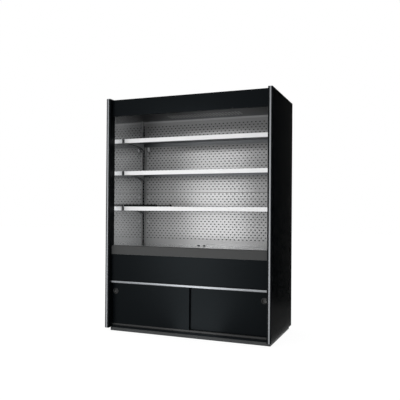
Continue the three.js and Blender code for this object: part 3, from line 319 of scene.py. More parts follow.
def surface(
    name, dark, light, roughness, metallic=0.0, grain=(8, 8, 8), relief=(400, 0.0), specular=0.5, coat=0.0,
    edge=(1.0, 1.0, 1.0),
):
    """A Principled finish. Its colour runs between two display colours, and its roughness between two
    values, with a noise whose scale along each axis is the grain. Relief is a finer noise's scale and
    height, and edge is the tint of the reflections, which a metal has at grazing angles only."""
    made, nodes = new_finish(name)
    where = nodes.add("ShaderNodeTexCoord", output="Object")

    def noise(scales, detail):
        drawn = nodes.add("ShaderNodeVectorMath", {"operation": "MULTIPLY"}, {0: where, 1: scales})
        return nodes.add("ShaderNodeTexNoise", inputs={"Vector": drawn, "Scale": 1.0, "Detail": detail})

    share = nodes.add("ShaderNodeMapRange", inputs={0: noise(grain, 4.0), 1: 0.3, 2: 0.7})
    ends = {0: share, 6: colour(*dark), 7: colour(*light)}
    inputs = {
        "Base Color": nodes.add("ShaderNodeMix", {"data_type": "RGBA"}, ends, 2),
        "Roughness": share * (roughness[1] - roughness[0]) + roughness[0],
        "Metallic": metallic,
        "Specular IOR Level": specular,
        "Coat Weight": coat,
        "Specular Tint": (*edge, 1.0),
    }
    scale, height = relief
    if height:
        bumps = noise(tuple(scale * part / max(grain) for part in grain), 2.0)
        inputs["Normal"] = nodes.add("ShaderNodeBump", inputs={"Height": bumps, "Distance": height})
    nodes.feed("Principled BSDF", inputs)
    return made


def piece(name, body, parts, replaces=(), smooth=35):
    """One finished piece at the origin, made of parts, each a (points, faces) shape and its finish.
    Points that lie together are merged and the faces turned outwards; it rides on its body."""
    mesh = bpy.data.meshes.new(name)
    points, faces, marks, finishes = [], [], [], []
    for (part_points, part_faces), finish in parts:
        start = sum(len(p) for p in points)
        if finish not in finishes:
            finishes.append(finish)
        points.append(part_points)
        faces += [[start + index for index in face] for face in part_faces]
        marks += [finishes.index(finish)] * len(part_faces)
    mesh.from_pydata(np.concatenate(points).tolist(), [], faces)
    for finish in finishes:
        mesh.materials.append(finish)
    mesh.polygons.foreach_set("material_index", marks)
    work = bmesh.new()
    work.from_mesh(mesh)
    bmesh.ops.remove_doubles(work, verts=work.verts, dist=1e-6)
    bmesh.ops.recalc_face_normals(work, faces=work.faces)
    work.to_mesh(mesh)
    work.free()
    made = bpy.data.objects.new(name, mesh)
    scene.collection.objects.link(made)
    if smooth:
        mesh.shade_smooth()
        mesh.set_sharp_from_angle(angle=math.radians(smooth))
        made.modifiers.new("even_shading", "WEIGHTED_NORMAL").keep_sharp = True
    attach(made, body)
    if replaces:
        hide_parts(*replaces)


plinth_paint = surface(
    "plinth_paint", (54, 56, 57), (64, 66, 67), (0.42, 0.55), relief=(500, 0.00012), specular=0.3
)
lo, hi = box("plinth")
outer = rounded(seen_along(2, lo, hi), PLINTH_CORNER)
inner = rounded(seen_along(2, lo, hi, PLINTH_WALL), PLINTH_CORNER - PLINTH_WALL)
skirt = hollow(outer, inner, lo[2], hi[2])
piece("plinth_skirt", "cabinet", [(skirt, plinth_paint)], ["plinth"])


# ---- levelling feet
# Four nylon pads on zinc-plated threaded studs, each with a hexagon nut that a spanner turns. They
# screw into the base floor inside the plinth.
THREAD_PITCH, THREAD_DEPTH = 0.00175, 0.0006
STUD_RADIUS, STUD_FOOT = 0.006, 0.0105
NUT_ACROSS = 0.019
NUT_FROM, NUT_TO = 0.012, 0.019
NUT_CHAMFER = 0.0012


def turned(profile, centre, axis, count=48, wrap=False):
    """A profile of (radius, height) points turned about an axis through the centre, heights along it."""
    radius, height = np.asarray(profile, float).T
    angle = np.linspace(0, 2 * math.pi, count, endpoint=False)
    rings = np.empty((len(radius), count, 3))
    rings[..., axis] = height[:, None]
    rings[..., others(axis)] = radius[:, None, None] * np.stack([np.cos(angle), np.sin(angle)], -1)
    return loft(rings + np.asarray(centre, float), wrap)


black_nylon = surface(
    "black_nylon", (17, 18, 19), (24, 25, 26), (0.42, 0.55), relief=(900, 0.00008), specular=0.35
)
zinc = surface(
    "zinc_plate", (150, 152, 154), (185, 187, 188), (0.28, 0.42), 1.0, (60, 60, 60), (700, 0.00005)
)
corner = NUT_ACROSS / 2 / math.cos(math.pi / 6)
nut = [(0, NUT_FROM), (corner * 0.94, NUT_FROM), (corner, NUT_FROM + NUT_CHAMFER)]
nut += [(corner, NUT_TO - NUT_CHAMFER), (corner * 0.94, NUT_TO), (0, NUT_TO)]
for name in ("foot_front_left", "foot_front_right", "foot_rear_left", "foot_rear_right"):
    lo, hi = box(name)
    radius, top = (hi[0] - lo[0]) / 2, hi[2]
    pad = [(0, 0), (radius - 0.001, 0), (radius, 0.001), (radius, 0.004), (radius - 0.002, 0.006)]
    pad += [(radius / 2, 0.0095), (0.0075, 0.0115), (0, 0.0115)]
    heights = np.arange(STUD_FOOT, top - THREAD_PITCH, THREAD_PITCH / 2)
    crests = STUD_RADIUS - THREAD_DEPTH * (np.arange(len(heights)) % 2)
    stud = [(0, 0.010), *zip(crests, heights), (0.0048, top), (0, top)]
    at = (*(lo + hi)[:2] / 2, 0)
    parts = [(turned(pad, at, 2), black_nylon), (turned(stud, at, 2, 20), zinc)]
    parts.append((turned(nut, at, 2, 6), zinc))
    piece(f"levelling_{name}", name, parts, [name], smooth=28)


# ---- base floor
# A painted steel tray that carries the condensing unit and the stock. It keeps its solid from the frame
# and gets the cabinet's satin black powder paint.
def coat(finish, *nodes):
    """Gives nodes of the frame their finish."""
    for name in nodes:
        frame["nodes"][name].data.materials.clear()
        frame["nodes"][name].data.materials.append(finish)


black_paint = surface(
    "satin_black_paint", (6, 8, 10), (7, 9, 11), (0.278, 0.282),
    grain=(5, 5, 5), relief=(420, 0.00002), specular=0.056, edge=(0.8, 0.93, 1.0),
)
coat(black_paint, "base_floor")


# ---- end panels
# Two foam-filled panels with satin black steel skins, rounded at the front edges. A groove down the
# front of each one holds its bright edge strip.
PANEL_EDGE = 0.0025
PANEL_EASE = 0.001
GROOVE_EDGE = 0.0003
CLEARANCE = 0.0003  # between pieces that don't bear on each other


def eased(outline, axis, span, ease=0.0, steps=4):
    """Rings of the outline over a span along an axis. With ease, they are drawn in towards both ends by
    that much, as a quarter circle: in by ease (1 - sin t) at ease (1 - cos t) from the end."""
    outline = np.asarray(outline, float)
    middle, extent = (outline.max(0) + outline.min(0)) / 2, np.ptp(outline, axis=0)
    t = np.linspace(0, math.pi / 2, steps) if ease else np.zeros(1)
    inset, along = ease * (1 - np.sin(t)), ease * (1 - np.cos(t))
    insets = np.concatenate([inset, inset[::-1]])
    places = np.concatenate([span[0] + along, span[1] - along[::-1]])
    shrunk = middle + (outline - middle) * (1 - 2 * insets[:, None, None] / extent)
    return [stood(ring, axis, place) for ring, place in zip(shrunk, places)]


def carried(outline, axis, span, ease=0.0):
    """The outline carried along an axis over a span, with its ends eased."""
    return loft(eased(outline, axis, span, ease))


for side in ("left", "right"):
    lo, hi = box(f"end_panel_{side}")
    strip_lo, strip_hi = box(f"edge_strip_{side}")
    left, right, deep = strip_lo[0] - CLEARANCE, strip_hi[0] + CLEARANCE, strip_hi[1] + CLEARANCE
    plan = [(lo[0], lo[1]), (left, lo[1]), (left, deep), (right, deep), (right, lo[1])]
    plan += [(hi[0], lo[1]), (hi[0], hi[1]), (lo[0], hi[1])]
    radii = [PANEL_EDGE, *[GROOVE_EDGE] * 4, *[PANEL_EDGE] * 3]
    shape = carried(rounded(plan, radii), 2, (lo[2], hi[2]), PANEL_EASE)
    piece(f"end_panel_skin_{side}", "cabinet", [(shape, black_paint)], [f"end_panel_{side}"])


# ---- edge strips
# Satin anodised aluminium strips, pressed into the grooves. They stand 2 mm proud and their front
# corners are chamfered. A black rubber bead fills the groove on the inner side of each.
STRIP_CHAMFER = 0.0015
STRIP_EDGE, STRIP_EASE = 0.0005, 0.0004
BEAD_WIDTH, BEAD_EDGE = 0.004, 0.0008


def block(lo, hi, edge=0.001, axis=2):
    """A box with rounded edges."""
    return carried(rounded(seen_along(axis, lo, hi), edge, 3), axis, (lo[axis], hi[axis]), edge)


upright_aluminium = surface(
    "anodised_aluminium_upright", (126, 128, 131), (141, 143, 146), (0.3, 0.4), 1.0,
    (900, 900, 6), (900, 0.00003),
)
rubber = surface("rubber", (18, 18, 18), (26, 26, 26), (0.7, 0.85), relief=(900, 0.0001), specular=0.2)
for side in ("left", "right"):
    lo, hi = box(f"edge_strip_{side}")
    bead_lo, bead_hi = lo.copy(), hi.copy()
    if side == "left":
        bead_lo[0] = hi[0] = hi[0] - BEAD_WIDTH
    else:
        bead_hi[0] = lo[0] = lo[0] + BEAD_WIDTH
    plan = [(lo[0], lo[1] + STRIP_CHAMFER), (lo[0] + STRIP_CHAMFER, lo[1])]
    plan += [(hi[0] - STRIP_CHAMFER, lo[1]), (hi[0], lo[1] + STRIP_CHAMFER), (hi[0], hi[1]), (lo[0], hi[1])]
    shape = carried(rounded(plan, STRIP_EDGE), 2, (lo[2], hi[2]), STRIP_EASE)
    parts = [(shape, upright_aluminium), (block(bead_lo, bead_hi, BEAD_EDGE), rubber)]
    piece(f"edge_trim_{side}", "cabinet", parts, [f"edge_strip_{side}"])


# ---- back wall
# A foam-filled panel whose steel skin has shallow pressed ribs. Cover straps are riveted over its two
# side joints and its top joint.
BACK_SKIN = 0.0018  # how far the ribs and straps stand proud of the skin
RIB_WIDTH, RIB_PITCH = 0.05, 0.23
RIB_SIDE, RIB_END = 0.18, 0.09  # margins beside and beyond the ribs
RIB_CORNER, RIB_EASE = 0.02, 0.0016
RIB_SINK, RIB_SHY = 0.004, 0.0004  # from the skin inwards, and from the straps' face
STRAP_WIDTH, STRAP_THICKNESS, STRAP_GAP = 0.04, 0.0008, 0.001
STRAP_SINK, STRAP_EASE = 0.002, 0.0003
SHEET_CORNER = 0.002
RIVET_RADIUS, RIVET_HEIGHT, RIVET_PITCH = 0.0032, 0.0012, 0.16
FLAT_RIVET = 0.0008  # height
RIVET_FOOT, RIVET_TOP, RIVET_SIDE = 0.05, 0.06, 0.1  # from the wall's edges to the first rivets


def copies(shape, places):
    """The same shape once at each place."""
    points, faces = shape
    moved = points[None] + np.asarray(places, float)[:, None]
    repeated = [[index + k * len(points) for index in face] for k in range(len(moved)) for face in faces]
    return moved.reshape(-1, 3), repeated


def rivet(axis, side, radius=RIVET_RADIUS, height=RIVET_HEIGHT):
    """A blind rivet's head at the origin: a shallow dome with a dimple, proud of its seat along an axis."""
    profile = [(0, -1 / 3), (1, -1 / 3), (1, 0.25), (0.8, 0.75), (0.45, 1), (0.3, 0.5), (0, 0.5)]
    return turned([(radius * r, side * height * h) for r, h in profile], (0, 0, 0), axis, 14)


def spread(start, end, pitch):
    """Evenly spaced values from start to end, about a pitch apart."""
    return np.linspace(start, end, max(2, round(abs(end - start) / pitch) + 1))


rear_paint = surface(
    "rear_black_paint", (15, 16, 17), (20, 21, 22), (0.4, 0.5), relief=(420, 0.00008), specular=0.35
)
lo, hi = box("back_wall")
skin = hi[1] - BACK_SKIN
parts = [(carried(rounded(seen_along(1, lo, hi), SHEET_CORNER), 1, (lo[1], skin)), rear_paint)]
for x in spread(lo[0] + RIB_SIDE, hi[0] - RIB_SIDE, RIB_PITCH):
    rib = rectangle(x - RIB_WIDTH / 2, x + RIB_WIDTH / 2, lo[2] + RIB_END, hi[2] - RIB_END)
    span = (skin - RIB_SINK, hi[1] - RIB_SHY)
    parts.append((carried(rounded(rib, RIB_CORNER), 1, span, RIB_EASE), rear_paint))
left, right, top = lo[0] + STRAP_WIDTH, hi[0] - STRAP_WIDTH, hi[2] - STRAP_GAP
face = skin + STRAP_THICKNESS
for strap in (
    rectangle(lo[0] + STRAP_GAP, left, lo[2] + STRAP_GAP, top),
    rectangle(right, hi[0] - STRAP_GAP, lo[2] + STRAP_GAP, top),
    rectangle(left + STRAP_GAP, right - STRAP_GAP, hi[2] - STRAP_WIDTH, top),
):
    span = (skin - STRAP_SINK, face)
    parts.append((carried(rounded(strap, SHEET_CORNER), 1, span, STRAP_EASE), rear_paint))
up = spread(lo[2] + RIVET_FOOT, hi[2] - RIVET_TOP, RIVET_PITCH)
along = spread(lo[0] + RIVET_SIDE, hi[0] - RIVET_SIDE, RIVET_PITCH)
places = [(x, face, z) for x in (lo[0] + STRAP_WIDTH / 2, hi[0] - STRAP_WIDTH / 2) for z in up]
places += [(x, face, hi[2] - STRAP_WIDTH / 2) for x in along]
parts.append((copies(rivet(1, 1, height=FLAT_RIVET), places), rear_paint))
piece("back_wall_skin", "cabinet", parts, ["back_wall"])


# ---- roof
# A foam-filled lid between the end panels. Its solid stays, painted black, with a riveted joint strap
# across the middle and rivets along both sides.
ROOF_STRAP, ROOF_STRAP_THICKNESS = 0.05, 0.001
ROOF_STRAP_FRONT, ROOF_STRAP_BACK = 0.01, 0.005  # from the header and from the roof's back edge
ROOF_RIVET_PITCH = 0.12
ROOF_RIVET_SIDE, ROOF_RIVET_MIDDLE = 0.02, 0.015  # from the sides and from the joint

coat(black_paint, "roof_panel")
lo, hi = box("roof_panel")
front = box("header_panel")[1][1] + ROOF_STRAP_FRONT
strap_top = hi[2] + ROOF_STRAP_THICKNESS
strap = rectangle(-ROOF_STRAP / 2, ROOF_STRAP / 2, front, hi[1] - ROOF_STRAP_BACK)
strap = rounded(strap, SHEET_CORNER)
parts = [(carried(strap, 2, (hi[2] - 0.001, strap_top), 0.0004), black_paint)]
down = spread(front + 0.03, hi[1] - 0.04, ROOF_RIVET_PITCH)
places = [(x, y, hi[2]) for x in (lo[0] + ROOF_RIVET_SIDE, hi[0] - ROOF_RIVET_SIDE) for y in down]
places += [(x, y, strap_top) for x in (-ROOF_RIVET_MIDDLE, ROOF_RIVET_MIDDLE) for y in down]
parts.append((copies(rivet(2, 1), places), black_paint))
piece("roof_strap", "cabinet", parts)


# ---- side liners
# Polished stainless sheets on the inside of both end panels. They mirror the back of the cabinet, and
# each one's ledge carries the deck and the return air grille. A matt grey strip covers the liner in
# front of each upright.
LINER_FACE = 0.6925  # the liners' inner faces, from the middle of the cabinet
COVER_WIDTH, COVER_THICKNESS, COVER_EDGE = 0.029, 0.0005, 0.0002
COVER_FOOT, COVER_TOP = 0.0005, 0.001  # from the deck and from the ceiling

matt_strip = surface(
    "matt_grey_strip", (196, 197, 198), (206, 207, 208), (0.6, 0.7), grain=(6, 6, 6), specular=0.2
)
polished_steel = surface(
    "polished_steel", (244, 245, 246), (248, 249, 250), (0.03, 0.06), 0.86, (3, 3, 3), (60, 0.000012)
)
coat(polished_steel, "side_liner_left", "side_liner_right")
uprights_front = box("upright_left")[0][1]
for side, facing in (("left", 1), ("right", -1)):
    x0, x1 = sorted(facing * (out - LINER_FACE) for out in (0.0001, COVER_THICKNESS))
    low = (x0, uprights_front - COVER_WIDTH, box("deck_panel")[1][2] + COVER_FOOT)
    high = (x1, uprights_front - CLEARANCE, box("ceiling_panel")[0][2] - COVER_TOP)
    piece(f"liner_cover_{side}", "cabinet", [(block(low, high, COVER_EDGE), matt_strip)])


# ---- cold tank
# The insulated tub under the deck, lined with galvanised steel, with a drain spigot in its floor.
SPANGLE = 110.0  # crystals to a metre
SPANGLE_DARK, SPANGLE_LIGHT = (120, 124, 127), (168, 172, 175)
SPANGLE_ROUGHNESS = (0.34, 0.5)


def spangled(name):
    """Galvanised steel: each zinc crystal, a Voronoi cell, has its own grey and its own roughness."""
    made, nodes = new_finish(name)
    where = nodes.add("ShaderNodeTexCoord", output="Object")
    cell = nodes.add("ShaderNodeTexVoronoi", inputs={"Vector": where, "Scale": SPANGLE}, output="Color")
    grey = nodes.add("ShaderNodeSeparateColor", inputs={0: cell})
    cloud = nodes.add("ShaderNodeTexNoise", inputs={"Vector": where, "Scale": 9.0, "Detail": 3.0})
    share = grey * 0.6 + cloud * 0.4
    ends = {0: share, 6: colour(*SPANGLE_DARK), 7: colour(*SPANGLE_LIGHT)}
    smoothest, roughest = SPANGLE_ROUGHNESS
    inputs = {
        "Base Color": nodes.add("ShaderNodeMix", {"data_type": "RGBA"}, ends, 2),
        "Metallic": 0.9,
        "Roughness": share * (roughest - smoothest) + smoothest,
        "Normal": nodes.add("ShaderNodeBump", inputs={"Height": share, "Distance": 0.00006}),
    }
    nodes.feed("Principled BSDF", inputs)
    return made


galvanised = spangled("galvanised_steel")
coat(galvanised, "cold_tank")


# ---- evaporator
# Aluminium fins on a copper tube that runs to and fro through them, between two flanged end plates. It
# stands on the tank's floor behind the fans.
FIN_PITCH, FIN_THICKNESS, FIN_INSET = 0.006, 0.0005, 0.004
TUBE_RADIUS, TUBE_INSET, TUBE_OVER = 0.0048, 0.02, 0.002
EVAPORATOR_TUBES = (4, 5)  # rows, levels
END_PLATE, END_FLANGE, END_FOLD = 0.0015, 0.016, 0.0006
END_BEND_ROOM = 0.03  # left at each end for the tube's bends


def piped(path, radius, around=12):
    """A round tube along a path. Its cross direction is carried from point to point: at each one the
    part along the tangent is taken out of it, so that the tube doesn't twist."""
    path = np.asarray(path, float)
    tangent = np.gradient(path, axis=0)
    tangent /= np.linalg.norm(tangent, axis=1, keepdims=True)
    side = np.cross(tangent[0], (0.31, 0.52, 0.79))
    sides = []
    for ahead in tangent:
        side = side - ahead * (side @ ahead)
        side = side / np.linalg.norm(side)
        sides.append(side)
    sides = np.array(sides)
    other = np.cross(tangent, sides)
    angle = np.linspace(0, 2 * math.pi, around, endpoint=False)[None, :, None]
    return loft(path[:, None] + radius * (np.cos(angle) * sides[:, None] + np.sin(angle) * other[:, None]))


def serpentine(lo, hi, rows, levels, bend_steps=8):
    """A path to and fro along X through a grid of rows and levels, up one row and down the next, with
    a half circle between neighbouring runs: out by r sin t, across by r cos t."""
    ys = np.linspace(lo[1], hi[1], rows)
    zs = np.linspace(lo[2], hi[2], levels)
    runs = [np.array([y, z]) for k, y in enumerate(ys) for z in (zs if k % 2 == 0 else zs[::-1])]
    t = np.linspace(0, math.pi, bend_steps)
    path = []
    for k, here in enumerate(runs):
        start, end = (lo[0], hi[0]) if k % 2 == 0 else (hi[0], lo[0])
        path += [(start + (end - start) * s, *here) for s in (0.01, 0.5, 0.99)]
        if k + 1 < len(runs):
            there = runs[k + 1]
            radius = np.linalg.norm(there - here) / 2
            out = end + math.copysign(radius, end - start) * np.sin(t)
            across = (here + there) / 2 + (here - there) / 2 * np.cos(t)[:, None]
            path += [(x, *yz) for x, yz in zip(out, across)]
    return path


def folded(path, thickness, radius, steps=4):
    """The section of a sheet with square folds along a path, which has the thickness to its left. The
    radii are those of the path's points and then of the inner ones, from its end back to its start."""
    ahead = np.sign(np.diff(path, axis=0))
    left = ahead[:, ::-1] * (-thickness, thickness)
    inner = np.pad(left, ((0, 1), (0, 0))) + np.pad(left, ((1, 0), (0, 0))) + path
    return rounded([*path, *inner[::-1]], radius, steps)


def finned_coil(node, rows, levels):
    """The parts of a coil whose tube runs along X: its fins, its tube and its two end plates."""
    lo, hi = box(node)
    start, end = lo[0] + END_BEND_ROOM, hi[0] - END_BEND_ROOM
    fin = carried(seen_along(0, lo, hi, FIN_INSET), 0, (-FIN_THICKNESS / 2, FIN_THICKNESS / 2))
    fins = copies(fin, [(x, 0, 0) for x in spread(start + FIN_INSET, end - FIN_INSET, FIN_PITCH)])
    low = (start - TUBE_OVER, lo[1] + TUBE_INSET, lo[2] + TUBE_INSET)
    high = (end + TUBE_OVER, hi[1] - TUBE_INSET, hi[2] - TUBE_INSET)
    parts = [(fins, fin_aluminium), (piped(serpentine(low, high, rows, levels), TUBE_RADIUS, 10), copper)]
    for x, outward in ((start, -1), (end, 1)):
        tip = x + outward * END_FLANGE
        path = [(tip, hi[1]), (x, hi[1]), (x, lo[1]), (tip, lo[1])]
        plate = folded(path, outward * END_PLATE, END_FOLD, 2)
        parts.append((carried(plate, 2, (lo[2], hi[2])), galvanised))
    return parts


fin_aluminium = surface(
    "fin_aluminium", (150, 153, 156), (186, 189, 191), (0.3, 0.45), 1.0, (40, 40, 40), (300, 0.00004)
)
copper = surface(
    "copper_tube", (150, 84, 52), (196, 118, 78), (0.25, 0.42), 1.0, (30, 30, 30), (300, 0.00004)
)
parts = finned_coil("evaporator_coil", *EVAPORATOR_TUBES)
piece("evaporator_fins", "cabinet", parts, ["evaporator_coil"])


# ---- evaporator fans
# Two moulded black rotors with swept blades, which draw the return air through the coil. Their motors
# hang on struts behind a galvanised plate, and a wire guard covers the front of each opening.
EVAPORATOR_ROTOR = {"radius": 0.0835, "hub": 0.03, "depth": 0.026, "chord": 0.055, "pitch": 34}
BLADES = 5
BLADE_THICKNESS = 0.0022
BLADE_SWEEP = 0.45  # radians that the tip leans ahead of the root
FAN_OPENING = 0.09
GUARD_WIRE, GUARD_RINGS = 0.0011, 6
GUARD_STAND, GUARD_MARGIN = 0.011, 0.004  # in front of the plate, and beyond the opening
# The bellmouth's section: out from the opening's radius, and back from the plate's front.
MOUTH = [(0.012, -0.0002), (0.006, -0.003), (0, -0.004), (-0.002, -0.001), (-0.002, 0.02), (-0.001, 0.02)]
MOUTH += [(0.0005, 0.0002), (0.006, -0.0006)]


def rotor(centre, radius, hub, depth, chord, pitch):
    """A rotor about Y. A blade's point at share s of its length and angle u round its section lies at
    radius hub + s (radius - hub), turned by its sweep and by its chord, and deep by the chord's pitch."""
    s = np.linspace(0, 1, 9)[:, None]
    u = np.linspace(0, 2 * math.pi, 18, endpoint=False)[None, :]
    root = hub * 0.9
    out = root + s * (radius - root)
    width = chord * (0.72 + 0.55 * s - 0.35 * s**2)
    lean = math.radians(pitch) * (1.25 - 0.45 * s)
    chordwise, thick = np.cos(u) / 2 * width, np.sin(u) / 2 * BLADE_THICKNESS * (1.4 - 0.6 * s)
    camber = 0.07 * width * (1 - (2 * chordwise / width) ** 2)
    turn = (chordwise * np.cos(lean) - (thick + camber) * np.sin(lean)) / out + BLADE_SWEEP * s**1.5
    deep = chordwise * np.sin(lean) + (thick + camber) * np.cos(lean)
    deep = np.clip(deep + depth / 2, 0.001, depth + 0.003)
    profile = [(0, 0.0004), (hub * 0.7, 0.0004), (hub * 0.93, 0.002), (hub, 0.006), (hub, depth - 0.001)]
    profile += [(hub - 0.001, depth), (hub * 0.86, depth), (hub * 0.86, 0.008), (0.007, 0.008)]
    profile += [(0.007, depth - 0.004), (0, depth - 0.004)]
    shapes = [turned(profile, centre, 1, 40)]
    for k in range(BLADES):
        angle = turn + 2 * math.pi * k / BLADES
        shapes.append(loft(np.stack([out * np.sin(angle), deep, out * np.cos(angle)], -1) + centre))
    return shapes


def guard(x, z, radius, front, back):
    """A wire guard: rings in one plane, and legs that cross them and bend back to the plate."""
    section = np.linspace(0, 2 * math.pi, 6, endpoint=False)
    wire = GUARD_WIRE * np.stack([np.cos(section), np.sin(section)], -1)
    reaches = np.linspace(radius * 0.22, radius, GUARD_RINGS)
    shapes = [turned(wire + (reach, front), (x, 0, z), 1, 64, wrap=True) for reach in reaches]
    before, edge = front - 2 * GUARD_WIRE, radius + 0.006
    leg = [(reach, before) for reach in (radius * 0.2, radius * 0.6, radius, edge)]
    leg += [(edge + 0.002, before + 0.002), (edge + 0.002, back)]
    for angle in np.radians([45, 135, 225, 315]):
        path = [(x + reach * math.cos(angle), y, z + reach * math.sin(angle)) for reach, y in leg]
        shapes.append(piped(path, GUARD_WIRE * 1.1, 8))
    return shapes


moulded_black = surface(
    "moulded_black", (16, 17, 18), (22, 23, 24), (0.36, 0.5), relief=(1200, 0.00005), specular=0.4
)
coat(galvanised, "evaporator_fan_plate")
plate_face = box("evaporator_fan_plate")[0][1]
joints = {joint["child"]: joint for joint in frame["joints"]}
for side in ("left", "right"):
    name = f"evaporator_fan_{side}"
    centre = np.array(joints[name]["pos_m"])
    parts = [(shape, moulded_black) for shape in rotor(centre, **EVAPORATOR_ROTOR)]
    piece(f"evaporator_rotor_{side}", name, parts, [name])
    x, _, z = centre
    mouth = turned(np.add(MOUTH, (FAN_OPENING, plate_face)), (x, 0, z), 1, 64, wrap=True)
    wires = guard(x, z, FAN_OPENING + GUARD_MARGIN, plate_face - GUARD_STAND, plate_face + 0.0005)
    parts = [(mouth, galvanised), *[(wire, zinc) for wire in wires]]
    piece(f"evaporator_guard_{side}", "cabinet", parts)


# ---- header
# One folded sheet of satin black steel: the canopy's front, a return over the roof, and a hemmed lip
# that hides the lamp.
HEADER_LIP, HEADER_HEM = 0.024, 0.010
SHEET = 0.0015

lo, hi = box("header_panel")
(front, low), (back, high) = lo[1:], hi[1:]
lip = front + HEADER_LIP
path = [(back, high), (front, high), (front, low), (lip, low), (lip, low + HEADER_HEM)]
radii = [0.0005, 0.003, 0.003, 0.002, 0.0005, 0.0005, 0.001, 0.0015, 0.0015, 0.0005]
shape = carried(folded(path, SHEET, radii), 0, (lo[0], hi[0]))
piece("header_sheet", "cabinet", [(shape, black_paint)], ["header_panel"])


# ---- ceiling
# A dark satin steel sheet under the canopy's air duct, with a row of vents across it under small
# pressed hoods. A bright angle in two lengths covers its joint with the duct panel.
HOOD_LENGTH, HOOD_WIDTH, HOOD_HEIGHT, HOOD_SHEET = 0.120, 0.015, 0.006, 0.0008
VENT_COUNT, VENT_PITCH, VENT_SETBACK = 24, 0.029, 0.447
TRIM_JOINT_X, TRIM_JOINT = -0.085, 0.004


def arch(half_width, rise, t):
    """Part of an ellipse that hangs down: x = a cos t, z = -b sin t."""
    return np.stack([half_width * np.cos(t), -rise * np.sin(t)], -1)


ceiling_steel = surface(
    "satin_steel_ceiling", (92, 95, 98), (104, 107, 110), (0.3, 0.38), 1.0, (6, 500, 6), (500, 0.000005),
    edge=(0.6, 0.6, 0.6),
)
bright_steel = surface(
    "bright_steel", (166, 167, 168), (178, 179, 180), (0.3, 0.38), 0.2, (6, 400, 400), specular=0.3
)
coat(ceiling_steel, "ceiling_panel")
t = np.linspace(0, math.pi, 9)
rings = []
for s in np.linspace(0, 1, 5):
    half, rise = HOOD_WIDTH / 2, HOOD_HEIGHT * math.sin(math.pi / 2 * (1 - s))
    section = np.concatenate([arch(half, rise, t), arch(half - HOOD_SHEET, rise - HOOD_SHEET, t[::-1])])
    rings.append(stood(section, 1, HOOD_LENGTH * (0.5 - s)))
at = (cad_box[0][1] + VENT_SETBACK, box("ceiling_panel")[0][2] - 0.0001)
places = [((k - (VENT_COUNT - 1) / 2) * VENT_PITCH, *at) for k in range(VENT_COUNT)]
piece("ceiling_hoods", "cabinet", [(copies(loft(rings), places), bright_steel)])

lo, hi = box("ceiling_trim")
angle = folded([(hi[1], lo[2]), (hi[1], hi[2]), (lo[1], hi[2])], SHEET, 0.0005)
lengths = [(lo[0], TRIM_JOINT_X - TRIM_JOINT / 2), (TRIM_JOINT_X + TRIM_JOINT / 2, hi[0])]
parts = [(carried(angle, 0, length), bright_steel) for length in lengths]
piece("ceiling_angle", "cabinet", parts, ["ceiling_trim"])


# ---- air discharge grille
# A honeycomb of thin black cells in a moulded frame, which straightens the cold air that falls past
# the shelves as a curtain.
CELL_PITCH, CELL_WALL = 0.0125, 0.0009
GRILLE_FRAME, GRILLE_TUCK = 0.006, 0.002  # the cells' sheet reaches into the frame


def hexagon(pitch, wall):
    """A hexagonal hole's outline, its flats towards its neighbours."""
    angle = np.linspace(0, 2 * math.pi, 6, endpoint=False) + math.pi / 6
    return (pitch - wall) / math.sqrt(3) * np.stack([np.cos(angle), np.sin(angle)], -1)


